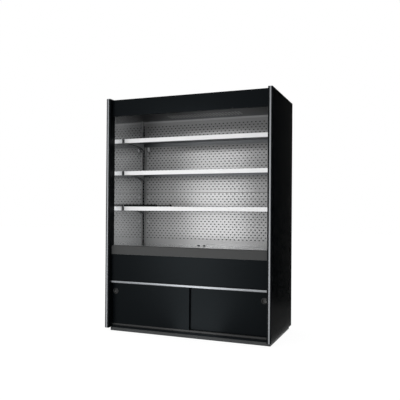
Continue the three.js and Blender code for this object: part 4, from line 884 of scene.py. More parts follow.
def perforated(span_u, span_v, depth, pitch, hole, field_u, field_v, rim=0.0, dip=0.0):
    """A sheet with holes in rows, each row shifted by half a pitch. The sheet lies on (u, v) and is as
    deep as depth, a pair of w values. The field is cut into half-pitch columns: a hole takes the two
    columns of a row beside it, and its ring of points is joined to the six lattice points around it.
    With rim, the front face dips towards each hole over that width. Returns (points, faces)."""
    columns = 2 * int((field_u[1] - field_u[0]) / pitch[0])
    rows = round((field_v[1] - field_v[0]) / pitch[1])
    us = (field_u[0] + field_u[1]) / 2 + (np.arange(columns + 1) - columns / 2) * pitch[0] / 2
    vs = field_v[0] + np.arange(rows + 1) * pitch[1]
    us = np.array([span_u[0], *us, span_u[1]])
    vs = np.array([span_v[0], *vs, span_v[1]])
    wide, tall = len(us), len(vs)
    lattice = np.stack(np.meshgrid(us, vs), -1).reshape(-1, 2)
    row, column = np.array([(r + 1, c + 1) for r in range(rows) for c in range(r % 2, columns - 1, 2)]).T
    centre = np.stack([us[column + 1], (vs[row] + vs[row + 1]) / 2], -1)
    outline = (row * wide + column)[:, None] + [wide + 2, wide + 1, wide, 0, 1, 2]
    cell, around = np.arange(len(row)), len(hole)

    def turn(points):
        return np.arctan2(points[:, 1], points[:, 0]) % (2 * math.pi)

    hole = hole[np.argsort(turn(hole))]
    gap = turn(hole)[:, None] - turn(lattice[outline[0]] - centre[0])[None]
    nearest = np.argmin(np.abs((gap + math.pi) % (2 * math.pi) - math.pi), 1)

    def joined(first, ring, flip):
        """Triangles between each hole's ring of points and its outline: one to each side of the ring,
        and one to each side of the outline where the nearest outline point changes."""
        made = []
        for j in range(around):
            k = (j + 1) % around
            a, b = ring + cell * around + j, ring + cell * around + k
            near = nearest[j]
            made.append(np.stack([a, first + outline[:, near], b], -1))
            while near != nearest[k]:
                following = (near + 1) % 6
                made.append(np.stack([first + outline[:, near], first + outline[:, following], b], -1))
                near = following
        tris = np.concatenate(made)
        return (tris[:, ::-1] if flip else tris).tolist()

    widened = hole * (1 + rim / np.linalg.norm(hole, axis=1, keepdims=True))
    holes, rims = [(centre[:, None] + ring).reshape(-1, 2) for ring in (hole, widened)]
    front, back = depth
    dipped = front + dip * np.sign(back - front)
    layers = [(lattice, front), (rims, front), (holes, dipped), (holes, back), (lattice, back)]
    points = np.concatenate([np.column_stack([flat, np.full(len(flat), w)]) for flat, w in layers])
    at = np.cumsum([0, *[len(flat) for flat, _ in layers]])
    faces = joined(at[0], at[1], False) + joined(at[4], at[3], True)
    j = cell[:, None] * around + np.arange(around)
    k = cell[:, None] * around + (np.arange(around) + 1) % around
    for upper in (at[1], at[2]) if rim else (at[2],):
        lower = upper + len(holes)
        faces += np.stack([upper + j, upper + k, lower + k, lower + j], -1).reshape(-1, 4).tolist()
    taken = np.zeros((tall - 1, wide - 1), bool)
    taken[row, column] = taken[row, column + 1] = True
    row, column = np.nonzero(~taken)
    plain = (row * wide + column)[:, None] + [0, 1, wide + 1, wide]
    faces += plain.tolist() + (plain[:, ::-1] + at[4]).tolist()
    index = np.arange(tall * wide).reshape(tall, wide)
    edge = np.concatenate([index[0], index[1:, -1], index[-1, -2::-1], index[-2:0:-1, 0]])
    after = np.roll(edge, -1)
    faces += np.stack([edge, edge + at[4], after + at[4], after], -1).tolist()
    return points, faces


def laid(shape, order):
    """A sheet's (u, v, w) points put on the axes named by order, such as "xzy" for an upright sheet."""
    points, faces = shape
    return points[:, [order.index(axis) for axis in "xyz"]], faces


lo, hi = box("air_discharge_grille")
edge = GRILLE_FRAME
row_pitch = CELL_PITCH * math.sqrt(3) / 2
rows = int((hi[1] - lo[1] - 2 * edge) / row_pitch)
cells = perforated(
    (lo[0] + GRILLE_TUCK, hi[0] - GRILLE_TUCK), (lo[1] + GRILLE_TUCK, hi[1] - GRILLE_TUCK),
    (lo[2] + 0.003, hi[2] - 0.001),
    (CELL_PITCH, row_pitch), hexagon(CELL_PITCH, CELL_WALL),
    (lo[0] + edge, hi[0] - edge), (lo[1] + edge, lo[1] + edge + row_pitch * rows),
)
outer, inner = (rounded(seen_along(2, lo, hi, inset), 0.001) for inset in (0, edge))
parts = [(cells, moulded_black), (hollow(outer, inner, lo[2], hi[2]), moulded_black)]
piece("air_honeycomb", "cabinet", parts, ["air_discharge_grille"], smooth=0)


# ---- canopy lamp
# A strip lamp under the roof's nose, behind the header: an opal cover clipped into an aluminium base,
# with a moulded cap at each end.
LAMP_BASE, LAMP_LIP = 0.006, 0.001
LAMP_CAP, LAMP_CAP_SHIFT = 0.012, 0.0003
CAP_EASE = 0.0008


def end_caps(outline, start, end, length, ease):
    """A moulded cap at each end of a piece that runs along X."""
    spans = ((start, start + length), (end - length, end))
    return [(carried(outline, 0, span, ease), moulded_black) for span in spans]


opal_cover = surface(
    "opal_cover", (196, 200, 204), (208, 211, 214), (0.35, 0.45), relief=(300, 0.00004), coat=0.2
)
aluminium = surface(
    "anodised_aluminium", (112, 115, 118), (126, 128, 131), (0.28, 0.38), 1.0, (6, 900, 900), (900, 0.00003)
)
lo, hi = box("canopy_lamp")
level = hi[2] - LAMP_BASE
base = rounded(rectangle(lo[1] + LAMP_LIP, hi[1] - LAMP_LIP, level, hi[2]), 0.0008)
t = np.linspace(math.pi, 2 * math.pi, 17)
half_width, deep = (hi[1] - lo[1]) / 2 - LAMP_LIP, level - lo[2] + LAMP_LIP
bulge = half_width * np.sign(np.cos(t)) * np.abs(np.cos(t)) ** 0.6
cover = np.stack([(lo[1] + hi[1]) / 2 + bulge, level + LAMP_LIP + deep * np.sin(t)], -1)
ends = (lo[0] + LAMP_CAP, hi[0] - LAMP_CAP)
cap = rounded(seen_along(0, lo, hi), 0.006)
parts = [(carried(base, 0, ends), aluminium), (carried(cover, 0, ends), opal_cover)]
parts += end_caps(cap, lo[0] + LAMP_CAP_SHIFT, hi[0] + LAMP_CAP_SHIFT, LAMP_CAP, 0.001)
piece("strip_lamp", "cabinet", parts, ["canopy_lamp"])


# ---- duct panels
# Two satin stainless sheets, one above the other, punched with rows of long holes. Cold air comes
# through them over the whole height of the shelves; behind them is the dark air duct. Domed nuts hold
# the lower one, and a white air probe is clipped on under the top shelf.
HOLE_PITCH, HOLE_ROW = 0.0384, 0.0231
HOLE_LENGTH, HOLE_HEIGHT = 0.0150, 0.0090
HOLE_RIM, HOLE_DIP = 0.0012, 0.0004
LOWEST_ROW, HIGHEST_ROW = 0.780, 1.865
SIDE_MARGIN, SEAM_EASE = 0.012, 0.001
NUT_X, NUT_LEVELS = 0.642, (0.933, 1.166)
PROBE_X, PROBE_LEVEL = -0.640, 1.618
PROBE_RADIUS, PROBE_LENGTH = 0.011, 0.026
PROBE_LEAD = [(0, 0, -0.012), (0.004, 0.001, -0.030), (0.013, 0.002, -0.048), (0.010, 0.004, -0.070)]
PROBE_LEAD += [(0.002, 0.0075, -0.078)]
LEAD_RADIUS = 0.0014


def obround(length, height, around=12):
    """A slot's outline with half-round ends: x = a cos t, z = b sin t, then pushed out along X by the
    length of its straight sides."""
    t = np.linspace(0, 2 * math.pi, around, endpoint=False) + math.pi / around
    straight = (length - height) / 2
    return np.stack([height / 2 * np.cos(t) + np.sign(np.cos(t)) * straight, height / 2 * np.sin(t)], -1)


def smooth_path(points, steps=8):
    """Catmull-Rom curve through the points: each stretch from p1 to p2 bends with p0 and p3 beside it."""
    points = np.asarray(points, float)
    wide = np.concatenate([[2 * points[0] - points[1]], points, [2 * points[-1] - points[-2]]])
    s = (np.arange(steps) / steps)[:, None]
    runs = []
    for p0, p1, p2, p3 in zip(wide, wide[1:], wide[2:], wide[3:]):
        square, cube = 2 * p0 - 5 * p1 + 4 * p2 - p3, 3 * p1 - p0 - 3 * p2 + p3
        runs.append((2 * p1 + (p2 - p0) * s + square * s**2 + cube * s**3) / 2)
    return np.concatenate([*runs, points[-1:]])


nut_steel = surface("nut_steel", (176, 177, 178), (190, 191, 192), (0.3, 0.4), 0.6)
white_plastic = surface(
    "white_plastic", (234, 235, 237), (240, 241, 242), (0.3, 0.4), relief=(500, 0.00003), specular=0.4
)
# Both sheets are the same steel. The upper sheet's greys are a step darker than the lower sheet's: painted
# shade of the canopy over the top bays.
for name, dark, light in (("duct_panel_lower", 166, 176), ("duct_panel_upper", 157, 166)):
    greys = ((dark, dark + 1, dark + 1), (light, light, light))
    steel = surface(f"{name}_steel", *greys, (0.16, 0.21), 0.17, (4, 4, 350), specular=0.3)
    lo, hi = box(name)
    below = max(0, math.ceil((lo[2] + HOLE_HEIGHT - LOWEST_ROW) / HOLE_ROW))
    first, last = LOWEST_ROW + HOLE_ROW * below, min(hi[2] - HOLE_HEIGHT, HIGHEST_ROW)
    rows = int((last - first) / HOLE_ROW) + 1
    sheet = perforated(
        (lo[0], hi[0]), (lo[2] + SEAM_EASE, hi[2] - SEAM_EASE), (lo[1], hi[1]),
        (HOLE_PITCH, HOLE_ROW), obround(HOLE_LENGTH, HOLE_HEIGHT),
        (lo[0] + SIDE_MARGIN, hi[0] - SIDE_MARGIN), (first - HOLE_ROW / 2, first + (rows - 0.5) * HOLE_ROW),
        HOLE_RIM, HOLE_DIP,
    )
    piece(f"{name}_sheet", "cabinet", [(laid(sheet, "xzy"), steel)], [name], smooth=0)

places = [(side * NUT_X, lo[1], z) for side in (-1, 1) for z in NUT_LEVELS]
nut = [(0, 0.0002), (0.012, 0.0002), (0.012, -0.0008), (0.009, -0.001), (0.0088, -0.003), (0.0065, -0.0052)]
nuts = copies(turned([*nut, (0, -0.006)], (0, 0, 0), 1, 24), places)
piece("duct_nuts", "cabinet", [(nuts, nut_steel)])
t = np.linspace(0, math.pi, 9)
capsule = [(PROBE_RADIUS * math.sin(turn), -PROBE_LENGTH / 2 * math.cos(turn)) for turn in t]
capsule = [*capsule[:5], *[(reach, PROBE_LENGTH + height) for reach, height in capsule[4:]]]
probe_at = np.array([PROBE_X, lo[1] - PROBE_RADIUS - 0.002, PROBE_LEVEL])
clip = block(*(probe_at + [(-0.008, PROBE_RADIUS - 0.003, 0.004), (0.008, PROBE_RADIUS + 0.0018, 0.014)]))
parts = [(turned(capsule, probe_at, 2, 20), white_plastic), (clip, white_plastic)]
parts.append((piped(probe_at + smooth_path(PROBE_LEAD), LEAD_RADIUS, 8), moulded_black))
piece("air_probe", "cabinet", parts)


# ---- uprights
# Two rolled steel channels, slotted all the way up for the brackets' hooks. Their slotted faces are
# painted dark, and their sides are the same grey as the liners' covers.
matt_black = surface(
    "matt_black", (8, 9, 10), (12, 13, 14), (0.5, 0.6), relief=(900, 0.00005), specular=0.08
)
coat(matt_black, "upright_left", "upright_right")
for side in ("left", "right"):
    mesh = frame["nodes"][f"upright_{side}"].data
    mesh.materials.append(matt_strip)
    normals = np.empty(3 * len(mesh.polygons))
    mesh.polygons.foreach_get("normal", normals)
    sideways = np.abs(normals.reshape(-1, 3)[:, 0]) > 0.5
    mesh.polygons.foreach_set("material_index", sideways.astype(int))


# ---- brackets
# Laser-cut plates that hook into the uprights, two to a shelf. The lower edge of each is folded
# inwards into a narrow flange that curves down to the heel. The flange is coloured near black, far
# darker than the grey plate it is folded from: painted shade under the shelf.
LEVELS = ("bottom", "middle", "top")
FLANGE_WIDTH, FLANGE_THICKNESS, FLANGE_SINK = 0.007, 0.0025, 0.0005
BRACKET_STRAIGHT, BRACKET_DROP = 0.205, 0.05  # the level part of the lower edge, and its fall at the heel

bracket_steel = surface(
    "bracket_steel", (176, 178, 180), (188, 190, 192), (0.34, 0.42), 0.2, (30, 30, 30), (500, 0.00003), 0.4
)
# The flange's near-black colour is painted shade, not a different steel.
flange_painted_shade = surface(
    "bracket_flange", (30, 31, 32), (38, 39, 40), (0.5, 0.6), 0.0, (30, 30, 30), (500, 0.00003), 0.4
)
for level in LEVELS:
    for side, inward in (("left", 1), ("right", -1)):
        name = f"bracket_{level}_{side}"
        coat(bracket_steel, name)
        lo, hi = box(name)
        edge = box(f"ticket_strip_{level}")[0][2]
        heel = box(f"upright_{side}")[0][1] - CLEARANCE
        corner = (heel - BRACKET_DROP / 2, edge - BRACKET_DROP / 5)
        start, end = (lo[1] + BRACKET_STRAIGHT, edge), (heel, edge - BRACKET_DROP)
        path = np.array([(lo[1] + 0.002, edge), *bend(*np.array([start, corner, end]), 16)])
        tangent = np.gradient(path, axis=0)
        across = np.stack([-tangent[:, 1], tangent[:, 0]], -1)
        normal = across / np.linalg.norm(tangent, axis=1, keepdims=True)
        inner = hi[0] if inward > 0 else lo[0]
        x0, x1 = inner - inward * FLANGE_SINK, inner + inward * FLANGE_WIDTH
        far = path + normal * FLANGE_THICKNESS
        rings = [[(x0, *near), (x1, *near), (x1, *off), (x0, *off)] for near, off in zip(path, far)]
        piece(f"bracket_flange_{level}_{side}", "cabinet", [(loft(rings), flange_painted_shade)])


# ---- shelves
# Folded satin steel trays that drop over their brackets, hemmed along the sides, with stiffening ribs
# pressed along the underside.
SHELF_EDGE = 0.002
SHELF_RIB, SHELF_RIB_DEPTH, SHELF_RIB_END = 0.012, 0.01, 0.03
SHELF_RIBS = (0.12, 0.25)  # back from the front edge

shelf_steel = surface(
    "shelf_steel", (104, 106, 108), (120, 122, 124), (0.28, 0.4), 1.0, (5, 500, 500), (500, 0.000003),
    edge=(0.5, 0.5, 0.5),
)
for level in LEVELS:
    name = f"shelf_{level}"
    lo, hi = box(name)
    outer, inner = (rounded(seen_along(2, lo, hi, inset), SHELF_EDGE) for inset in (0, SHEET))
    rings = [stood(inner, 2, hi[2] - SHEET), stood(inner, 2, lo[2]), stood(outer, 2, lo[2])]
    rings += eased(outer, 2, (lo[2], hi[2]), SHELF_EDGE, 5)[5:]
    parts = [(loft(rings), shelf_steel)]
    under, deep, half = hi[2] - SHEET + 0.0001, hi[2] - SHELF_RIB_DEPTH, SHELF_RIB / 2
    for y in (lo[1] + back for back in SHELF_RIBS):
        section = [(y - SHELF_RIB, under), (y - half, deep), (y + half, deep), (y + SHELF_RIB, under)]
        span = (lo[0] + SHELF_RIB_END, hi[0] - SHELF_RIB_END)
        parts.append((carried(rounded(section, 0.002), 0, span), shelf_steel))
    piece(f"{name}_tray", name, parts, [name])


# ---- ticket strips
# White extruded channels clipped to the shelves' front edges, with a paper strip behind their lips. A
# black moulded cap closes each end.
TICKET_LIP, TICKET_WALL, TICKET_CAP = 0.005, 0.0016, 0.008

ticket_paper = surface(
    "ticket_paper", (238, 238, 239), (243, 243, 243), (0.7, 0.8), relief=(900, 0.00003), specular=0.2
)
for level in LEVELS:
    name = f"ticket_strip_{level}"
    lo, hi = box(name)
    front, inner, back = lo[1], lo[1] + TICKET_WALL, hi[1]
    low, high = lo[2] + TICKET_LIP, hi[2] - TICKET_LIP
    profile = [(back, lo[2]), (back, hi[2]), (front, hi[2]), (front, high), (inner, high), (inner, low)]
    profile += [(front, low), (front, lo[2])]
    radii = [0.001, 0.001, 0.001, 0.0006, 0.0003, 0.0003, 0.0006, 0.001]
    ends = (lo[0] + TICKET_CAP, hi[0] - TICKET_CAP)
    paper_lo = (ends[0] + 0.002, inner - 0.0007, low + CLEARANCE)
    paper_hi = (ends[1] - 0.002, inner + 0.0002, high - CLEARANCE)
    paper = block(paper_lo, paper_hi, 0.0001)
    parts = [(carried(rounded(profile, radii), 0, ends), white_plastic), (paper, ticket_paper)]
    cap = rectangle(front + CLEARANCE, back - 0.0001, lo[2] + CLEARANCE, hi[2] - CLEARANCE)
    parts += end_caps(rounded(cap, 0.0015), lo[0], hi[0], TICKET_CAP, CAP_EASE)
    piece(f"ticket_channel_{level}", f"shelf_{level}", parts, [name])


# ---- guard rail
# A short black bar on three feet at the left end of the lowest shelf, thinner towards the round knob
# at its free end.
RAIL_THICK, RAIL_THIN = 0.330, 0.0035  # length of the thick part; half the height of the thin one
RAIL_KNOB = 0.009
RAIL_INSET, RAIL_CLEAR = 0.002, 0.002
RAIL_TOP = 0.0205
RAIL_FEET, RAIL_FOOT = (0.010, 0.165, 0.310), 0.010

lo, hi = box("guard_rail")
middle = (lo[1] + hi[1]) / 2
under, top = lo[2] + RAIL_CLEAR, lo[2] + RAIL_TOP
level = (under + top) / 2
thick = block((lo[0], lo[1], under), (lo[0] + RAIL_THICK, hi[1], top), 0.003, 0)
t = np.linspace(0, 2 * math.pi, 20, endpoint=False)
oval = np.stack([middle + (middle - lo[1] - RAIL_INSET) * np.cos(t), level + RAIL_THIN * np.sin(t)], -1)
thin = carried(oval, 0, (lo[0] + RAIL_THICK - 0.004, hi[0] - RAIL_KNOB))
half, t = (hi[1] - lo[1]) / 2, np.linspace(0, math.pi, 13)
profile = [(RAIL_KNOB * math.sin(turn) ** 0.6, -half * math.cos(turn)) for turn in t]
knob = turned(profile, (hi[0] - RAIL_KNOB, middle, level), 1, 32)
parts = [(thick, matt_black), (thin, matt_black), (knob, matt_black)]
for x in (lo[0] + place for place in RAIL_FEET):
    foot = block((x, lo[1] + RAIL_INSET, lo[2]), (x + RAIL_FOOT, hi[1] - RAIL_INSET, under + 0.001))
    parts.append((foot, matt_black))
piece("guard_bar", "shelf_bottom", parts, ["guard_rail"])


# ---- deck
# A lift-out satin steel tray between the return air grille and the duct. Black moulded collars line its
# two finger holes and stand proud, so that spilt water stays on the deck.
FINGER_HOLES = ((-0.075, 0.152), (-0.020, 0.152))
FINGER_RADIUS = 0.0125
COLLAR_HEIGHT = 0.008

deck_steel = surface(
    "deck_steel", (222, 223, 224), (227, 227, 228), (0.26, 0.28), 1.0, (5, 450, 450), (450, 0.000002)
)
coat(deck_steel, "deck_panel")
top, radius, rim = box("deck_panel")[1][2], FINGER_RADIUS, COLLAR_HEIGHT - 0.0012
collar = [(radius - CLEARANCE, -0.004), (radius - CLEARANCE, 0.0002), (radius + 0.0018, 0.0002)]
collar += [(radius + 0.0018, 0.0016), (radius - 0.0002, 0.0035), (radius - 0.0002, rim)]
collar += [(radius - 0.0012, COLLAR_HEIGHT), (radius - 0.0022, rim), (radius - 0.0022, -0.004)]
collars = copies(turned(collar, (0, 0, 0), 2, 40, wrap=True), [(x, y, top) for x, y in FINGER_HOLES])
piece("deck_finger_collars", "deck", [(collars, moulded_black)])


# ---- return air grille
# A dark steel sheet with close rows of slots, flanged down at the front and back. The air curtain is
# drawn in through it, between the sill and the deck.
RETURN_PITCH, RETURN_MARGIN = (0.026, 0.012), 0.008
RETURN_SLOT = (0.019, 0.005)


def whole_rows(start, end, row):
    """The field in the middle between start and end that holds a whole number of rows."""
    rows = int((end - start) / row)
    middle = (start + end) / 2
    return middle - rows * row / 2, middle + rows * row / 2


dark_steel = surface(
    "dark_steel", (26, 28, 30), (36, 38, 40), (0.36, 0.5), 0.3, (20, 20, 20), (500, 0.00008), 0.4
)
lo, hi = box("return_air_grille")
sheet = perforated(
    (lo[0], hi[0]), (lo[1], hi[1]), (hi[2], hi[2] - SHEET), RETURN_PITCH, obround(*RETURN_SLOT),
    (lo[0] + RETURN_MARGIN, hi[0] - RETURN_MARGIN),
    whole_rows(lo[1] + RETURN_MARGIN, hi[1] - RETURN_MARGIN, RETURN_PITCH[1]),
)
parts = [(sheet, dark_steel)]
for y in (lo[1], hi[1] - SHEET):
    low = (lo[0] + 0.0002, y + 0.0001, lo[2])
    high = (hi[0] - 0.0002, y + SHEET - 0.0001, hi[2] - SHEET - 0.0001)
    parts.append((block(low, high, 0.0003, 0), dark_steel))
piece("return_grille_sheet", "cabinet", parts, ["return_air_grille"], smooth=0)


# ---- sill
# A grey moulded cap over the tank's front wall: the band under the opening. It is hollow from below
# and rounded along its top edges.
grey_plastic = surface(
    "grey_plastic", (43, 44, 44), (49, 50, 50), (0.5, 0.6), relief=(700, 0.0001), specular=0.3
)
lo, hi = box("front_sill")
rest = box("cold_tank")[1][2] + CLEARANCE
path = [(hi[1], rest), (hi[1], hi[2]), (lo[1], hi[2]), (lo[1], lo[2])]
radii = [0.0004, 0.005, 0.005, 0.0004, 0.0004, 0.004, 0.004, 0.0004]
shape = carried(folded(path, SHEET, radii, 5), 0, (lo[0], hi[0]))
piece("sill_cap", "cabinet", [(shape, grey_plastic)], ["front_sill"])


# ---- front panel
# A satin black sheet over the tank's front wall, folded back under the tank.
lo, hi = box("front_panel")
path = [(lo[1], hi[2]), (lo[1], lo[2]), (hi[1], lo[2])]
shape = folded(path, SHEET, [0.0006, 0.002, 0.0004, 0.0004, 0.0005, 0.0004])
shape = carried(shape, 0, (lo[0], hi[0]))
piece("front_sheet", "cabinet", [(shape, black_paint)], ["front_panel"])


# ---- bumper
# A bright aluminium extrusion that takes the knocks of trolleys, clipped over a black moulded carrier
# that shows above and below it, with a moulded cap at each end.
BUMPER_WALL, BUMPER_ROUND, BUMPER_CAP = 0.0025, 0.006, 0.004
BUMPER_ABOVE, BUMPER_BELOW = 0.0030, 0.0012  # height of the carrier that shows
BUMPER_SETBACK = 0.004

lo, hi = box("bumper_rail")
front, low, high = lo[1], lo[2] + BUMPER_BELOW, hi[2] - BUMPER_ABOVE
behind, ends = front + BUMPER_SETBACK + BUMPER_WALL, (lo[0] + BUMPER_CAP, hi[0] - BUMPER_CAP)
path = [(behind, high), (front, high), (front, low), (behind, low)]
radii = [0.0004, BUMPER_ROUND, BUMPER_ROUND, 0.0004, 0.0004, 0.002, 0.002, 0.0004]
carrier = block((ends[0], front + BUMPER_SETBACK, lo[2]), (ends[1], hi[1], hi[2]), 0.0008, 0)
rail = carried(folded(path, BUMPER_WALL, radii, 6), 0, ends)
parts = [(rail, aluminium), (carrier, matt_black)]
cap = rectangle(front + CLEARANCE, hi[1], lo[2] + CLEARANCE, hi[2] - CLEARANCE)
cap = rounded(cap, [BUMPER_ROUND, 0.0005, 0.0005, BUMPER_ROUND])
parts += end_caps(cap, lo[0], hi[0], BUMPER_CAP, CAP_EASE)
piece("bumper_extrusion", "cabinet", parts, ["bumper_rail"])


# ---- door tracks
# Two black extruded tracks with a channel for each door: a deep one above, into which a door is lifted
# to take it out, and a shallow one on the base floor.
coat(moulded_black, "door_track_top", "door_track_bottom")


# ---- doors
# Two sliding leaves in satin black sheet with rounded edges, each with a round hole for its finger
# pull.
DOOR_EDGE = 0.003
PULL_HOLE = 0.0213

for side in ("left", "right"):
    name = f"door_{side}"
    lo, hi = box(name)
    hub = np.mean(box(f"finger_pull_{side}"), 0)[[0, 2]]
    face = rounded(seen_along(1, lo, hi), DOOR_EDGE, 6)
    step = np.roll(face, -1, 0) - face
    face = np.concatenate([face + step * s for s in (0, 0.25, 0.5, 0.75)], 1).reshape(-1, 2)
    away = face - hub
    hole = hub + away / np.linalg.norm(away, axis=1, keepdims=True) * PULL_HOLE
    rings = [stood(hole, 1, lo[1]), *eased(face, 1, (lo[1], hi[1]), DOOR_EDGE), stood(hole, 1, hi[1])]
    piece(f"{name}_leaf", name, [(loft(rings, wrap=True), black_paint)], [name])


# ---- finger pulls
# Moulded black cups pressed into the doors' holes, with a rounded flange on the door's face.
PULL_WALL = 0.0015

for side in ("left", "right"):
    name = f"finger_pull_{side}"
    lo, hi = box(name)
    at = ((lo[0] + hi[0]) / 2, lo[1], (lo[2] + hi[2]) / 2)
    flange, cup, depth = (hi[0] - lo[0]) / 2, PULL_HOLE - CLEARANCE, hi[1] - lo[1]
    bore, floor = cup - PULL_WALL, depth - PULL_WALL
    profile = [(0, depth), (cup - 0.002, depth), (cup, depth - 0.002), (cup, 0.0017)]
    profile += [(flange - 0.0004, 0.0017), (flange, 0.0012), (flange - 0.0004, 0.0004)]
    profile += [(flange - 0.0015, 0), (cup - 0.0002, 0.0002), (bore, 0.0014), (bore, depth - 0.005)]
    profile += [(bore - 0.001, depth - 0.0027), (bore - 0.0035, floor), (0, floor)]
    parts = [(turned(profile, at, 1, 72), moulded_black)]
    piece(f"finger_cup_{side}", f"door_{side}", parts, [name])


# ---- rear grille
# A galvanised sheet behind the base, with rows of upright slots through which the condensing unit
# breathes, screwed along its edges.
LOUVRE_PITCH, LOUVRE_MARGIN = (0.016, 0.062), 0.05
LOUVRE = (0.048, 0.006)
REAR_SCREW = (0.004, 0.002)  # radius, height
REAR_SCREW_PITCH, REAR_SCREW_SIDE, REAR_SCREW_END = 0.22, 0.03, 0.02

lo, hi = box("rear_grille")
sheet = perforated(
    (lo[0], hi[0]), (lo[2], hi[2]), (hi[1], lo[1]), LOUVRE_PITCH, obround(*LOUVRE)[:, ::-1],
    (lo[0] + LOUVRE_MARGIN, hi[0] - LOUVRE_MARGIN),
    whole_rows(lo[2] + LOUVRE_MARGIN, hi[2] - LOUVRE_MARGIN, LOUVRE_PITCH[1]),
)
xs = spread(lo[0] + REAR_SCREW_SIDE, hi[0] - REAR_SCREW_SIDE, REAR_SCREW_PITCH)
places = [(x, hi[1], z) for x in xs for z in (lo[2] + REAR_SCREW_END, hi[2] - REAR_SCREW_END)]
parts = [(laid(sheet, "xzy"), galvanised), (copies(rivet(1, 1, *REAR_SCREW), places), zinc)]
piece("rear_louvres", "cabinet", parts, ["rear_grille"], smooth=0)


# ---- condenser
# A finned coil in a galvanised frame at the front right of the base, with a shroud and a fan that
# pulls room air through it.
CONDENSER_TUBES = (2, 8)  # rows, levels
CONDENSER_ROTOR = {"radius": 0.0895, "hub": 0.032, "depth": 0.028, "chord": 0.058, "pitch": 32}

parts = finned_coil("condenser_coil", *CONDENSER_TUBES)
piece("condenser_fins", "cabinet", parts, ["condenser_coil"])
coat(galvanised, "condenser_fan_shroud")
shapes = rotor(np.array(joints["condenser_fan"]["pos_m"]), **CONDENSER_ROTOR)
parts = [(shape, moulded_black) for shape in shapes]
piece("condenser_rotor", "condenser_fan", parts, ["condenser_fan"])


# ---- compressor
# A welded steel pot in gloss black on rubber grommets and a mounting plate, with a terminal cover on
# its side. Its copper suction pipe rises to the tank, and its discharge pipe runs to the condenser.
POT_RADIUS, POT_HEIGHT, POT_DOME = 0.085, 0.190, 0.045
POT_SEAM, POT_BELLY = 0.105, 0.03
POT_BACK = 0.130  # the pot's middle, behind the middle of the cabinet
GROMMETS = [(x, y) for y in (-0.052, 0.052) for x in (-0.082, 0.082)]
GROMMET = [(0, 0.0035), (0.011, 0.0035), (0.012, 0.006), (0.009, 0.008), (0.009, 0.010), (0.011, 0.012)]
GROMMET += [(0.010, 0.014), (0.004, 0.014), (0.004, 0.018), (0, 0.018)]
POT_PLATE = ((-0.095, -0.0665, 0.0), (0.095, 0.0665, 0.004))  # corners, from the pot's foot
TERMINAL = ((-0.118, -0.03, 0.09), (-0.072, 0.03, 0.15))
SUCTION_RADIUS, DISCHARGE_RADIUS = 0.0075, 0.0046

gloss_black = surface(
    "gloss_black_paint", (10, 11, 12), (14, 15, 16), (0.12, 0.22), relief=(200, 0.0001), coat=0.4
)
lo, hi = box("compressor")
coil_lo, coil_hi = box("condenser_coil")
foot = np.array([(coil_lo[0] + coil_hi[0]) / 2, POT_BACK, lo[2]])
turns = [(1 - math.cos(turn), 1 - math.sin(turn)) for turn in np.linspace(0, math.pi / 2, 9)]
pot = [(0, 0.006), (POT_RADIUS - POT_BELLY, 0.006)]
pot += [(POT_RADIUS - POT_BELLY * sine, 0.012 + POT_BELLY * cosine) for cosine, sine in turns]
pot += [(POT_RADIUS, POT_SEAM - 0.004), (POT_RADIUS + 0.003, POT_SEAM - 0.002)]
pot += [(POT_RADIUS + 0.003, POT_SEAM + 0.002), (POT_RADIUS - 0.001, POT_SEAM + 0.004)]
pot += [(POT_RADIUS - 0.001 - POT_DOME * cosine, POT_HEIGHT - POT_DOME * sine) for cosine, sine in turns]
pot += [(0, POT_HEIGHT)]
plate, terminal = block(*(foot + POT_PLATE), 0.0015), block(*(foot + TERMINAL), 0.006, 0)
parts = [(turned(pot, foot, 2, 64), gloss_black), (plate, gloss_black), (terminal, moulded_black)]
parts += [(turned(GROMMET, foot + (x, y, 0), 2, 20), rubber) for x, y in GROMMETS]
piece("compressor_pot", "cabinet", parts, ["compressor"])
lid, neck, x = hi[2] - lo[2], POT_HEIGHT - POT_DOME, POT_RADIUS + 0.034
suction = [(POT_RADIUS / 2, 0, neck), (POT_RADIUS + 0.017, 0.060, neck), (x, 0.120, POT_HEIGHT + 0.020)]
suction += [(x, 0.120, lid - 0.060), (x, 0.120, lid)]
back, high = coil_hi[1] - POT_BACK, POT_HEIGHT + 0.020
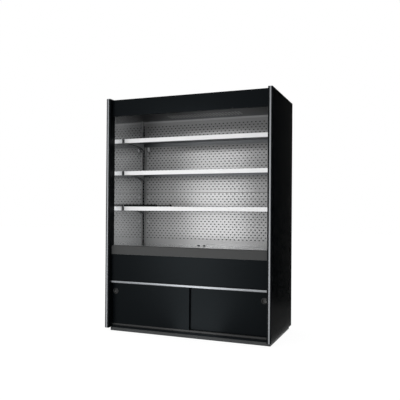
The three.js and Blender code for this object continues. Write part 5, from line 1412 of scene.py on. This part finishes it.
edge, middle = (coil_hi[0] - coil_lo[0]) / 2 + 0.0053, back - (coil_hi[1] - coil_lo[1]) / 2
discharge = [(POT_RADIUS / 2, -0.020, neck - POT_DOME / 2), (POT_RADIUS + 0.042, -0.060, neck)]
discharge += [(edge, back + 0.090, POT_HEIGHT), (edge, back, high), (edge, middle, high)]
parts = [(piped(foot + smooth_path(suction), SUCTION_RADIUS, 16), copper)]
parts.append((piped(foot + smooth_path(discharge), DISCHARGE_RADIUS, 14), copper))
piece("refrigerant_pipes", "cabinet", parts)


# ---- condensate tray
# A thin moulded tray under the drain, where the defrost water dries off.
TRAY_WALL = 0.002

lo, hi = box("condensate_tray")
low, high = lo[2], hi[2]
# Up the outside and down the inside: inset, height and corner radius.
steps = [(0.006, low, 0.018), (0.003, low + 0.003, 0.018), (0.002, high - 0.004, 0.018)]
steps += [(0, high - 0.003, 0.02), (0, high, 0.02), (0.004, high, 0.018)]
steps += [(0.005, low + 0.006, 0.016), (0.008, low + TRAY_WALL, 0.014)]
rings = [stood(rounded(seen_along(2, lo, hi, inset), corner, 6), 2, z) for inset, z, corner in steps]
piece("drip_tray", "cabinet", [(loft(rings), moulded_black)], ["condensate_tray"])


# ---- control box and switch
# A galvanised box under the tank with a screwed front and a cable gland, and the rocker switch that
# turns the cabinet on.
GLAND = [(0, 0), (0.009, 0), (0.009, -0.006), (0.007, -0.008), (0.007, -0.014), (0.0045, -0.016)]
GLAND += [(0, -0.016)]
SCREW = (0.0035, 0.0018)  # radius, height
SCREW_INSET = 0.01

coat(galvanised, "control_box")
lo, hi = box("control_box")
xs, zs = ((lo[axis] + SCREW_INSET, hi[axis] - SCREW_INSET) for axis in (0, 2))
places = [(x, lo[1], z) for x in xs for z in zs]
gland_at = (lo[0] + 0.04, (lo[1] + hi[1]) / 2, lo[2])
screws, gland = copies(rivet(1, -1, *SCREW), places), turned(GLAND, gland_at, 2, 24)
parts = [(screws, zinc), (gland, moulded_black)]
piece("control_fixings", "cabinet", parts)
coat(moulded_black, "power_switch")
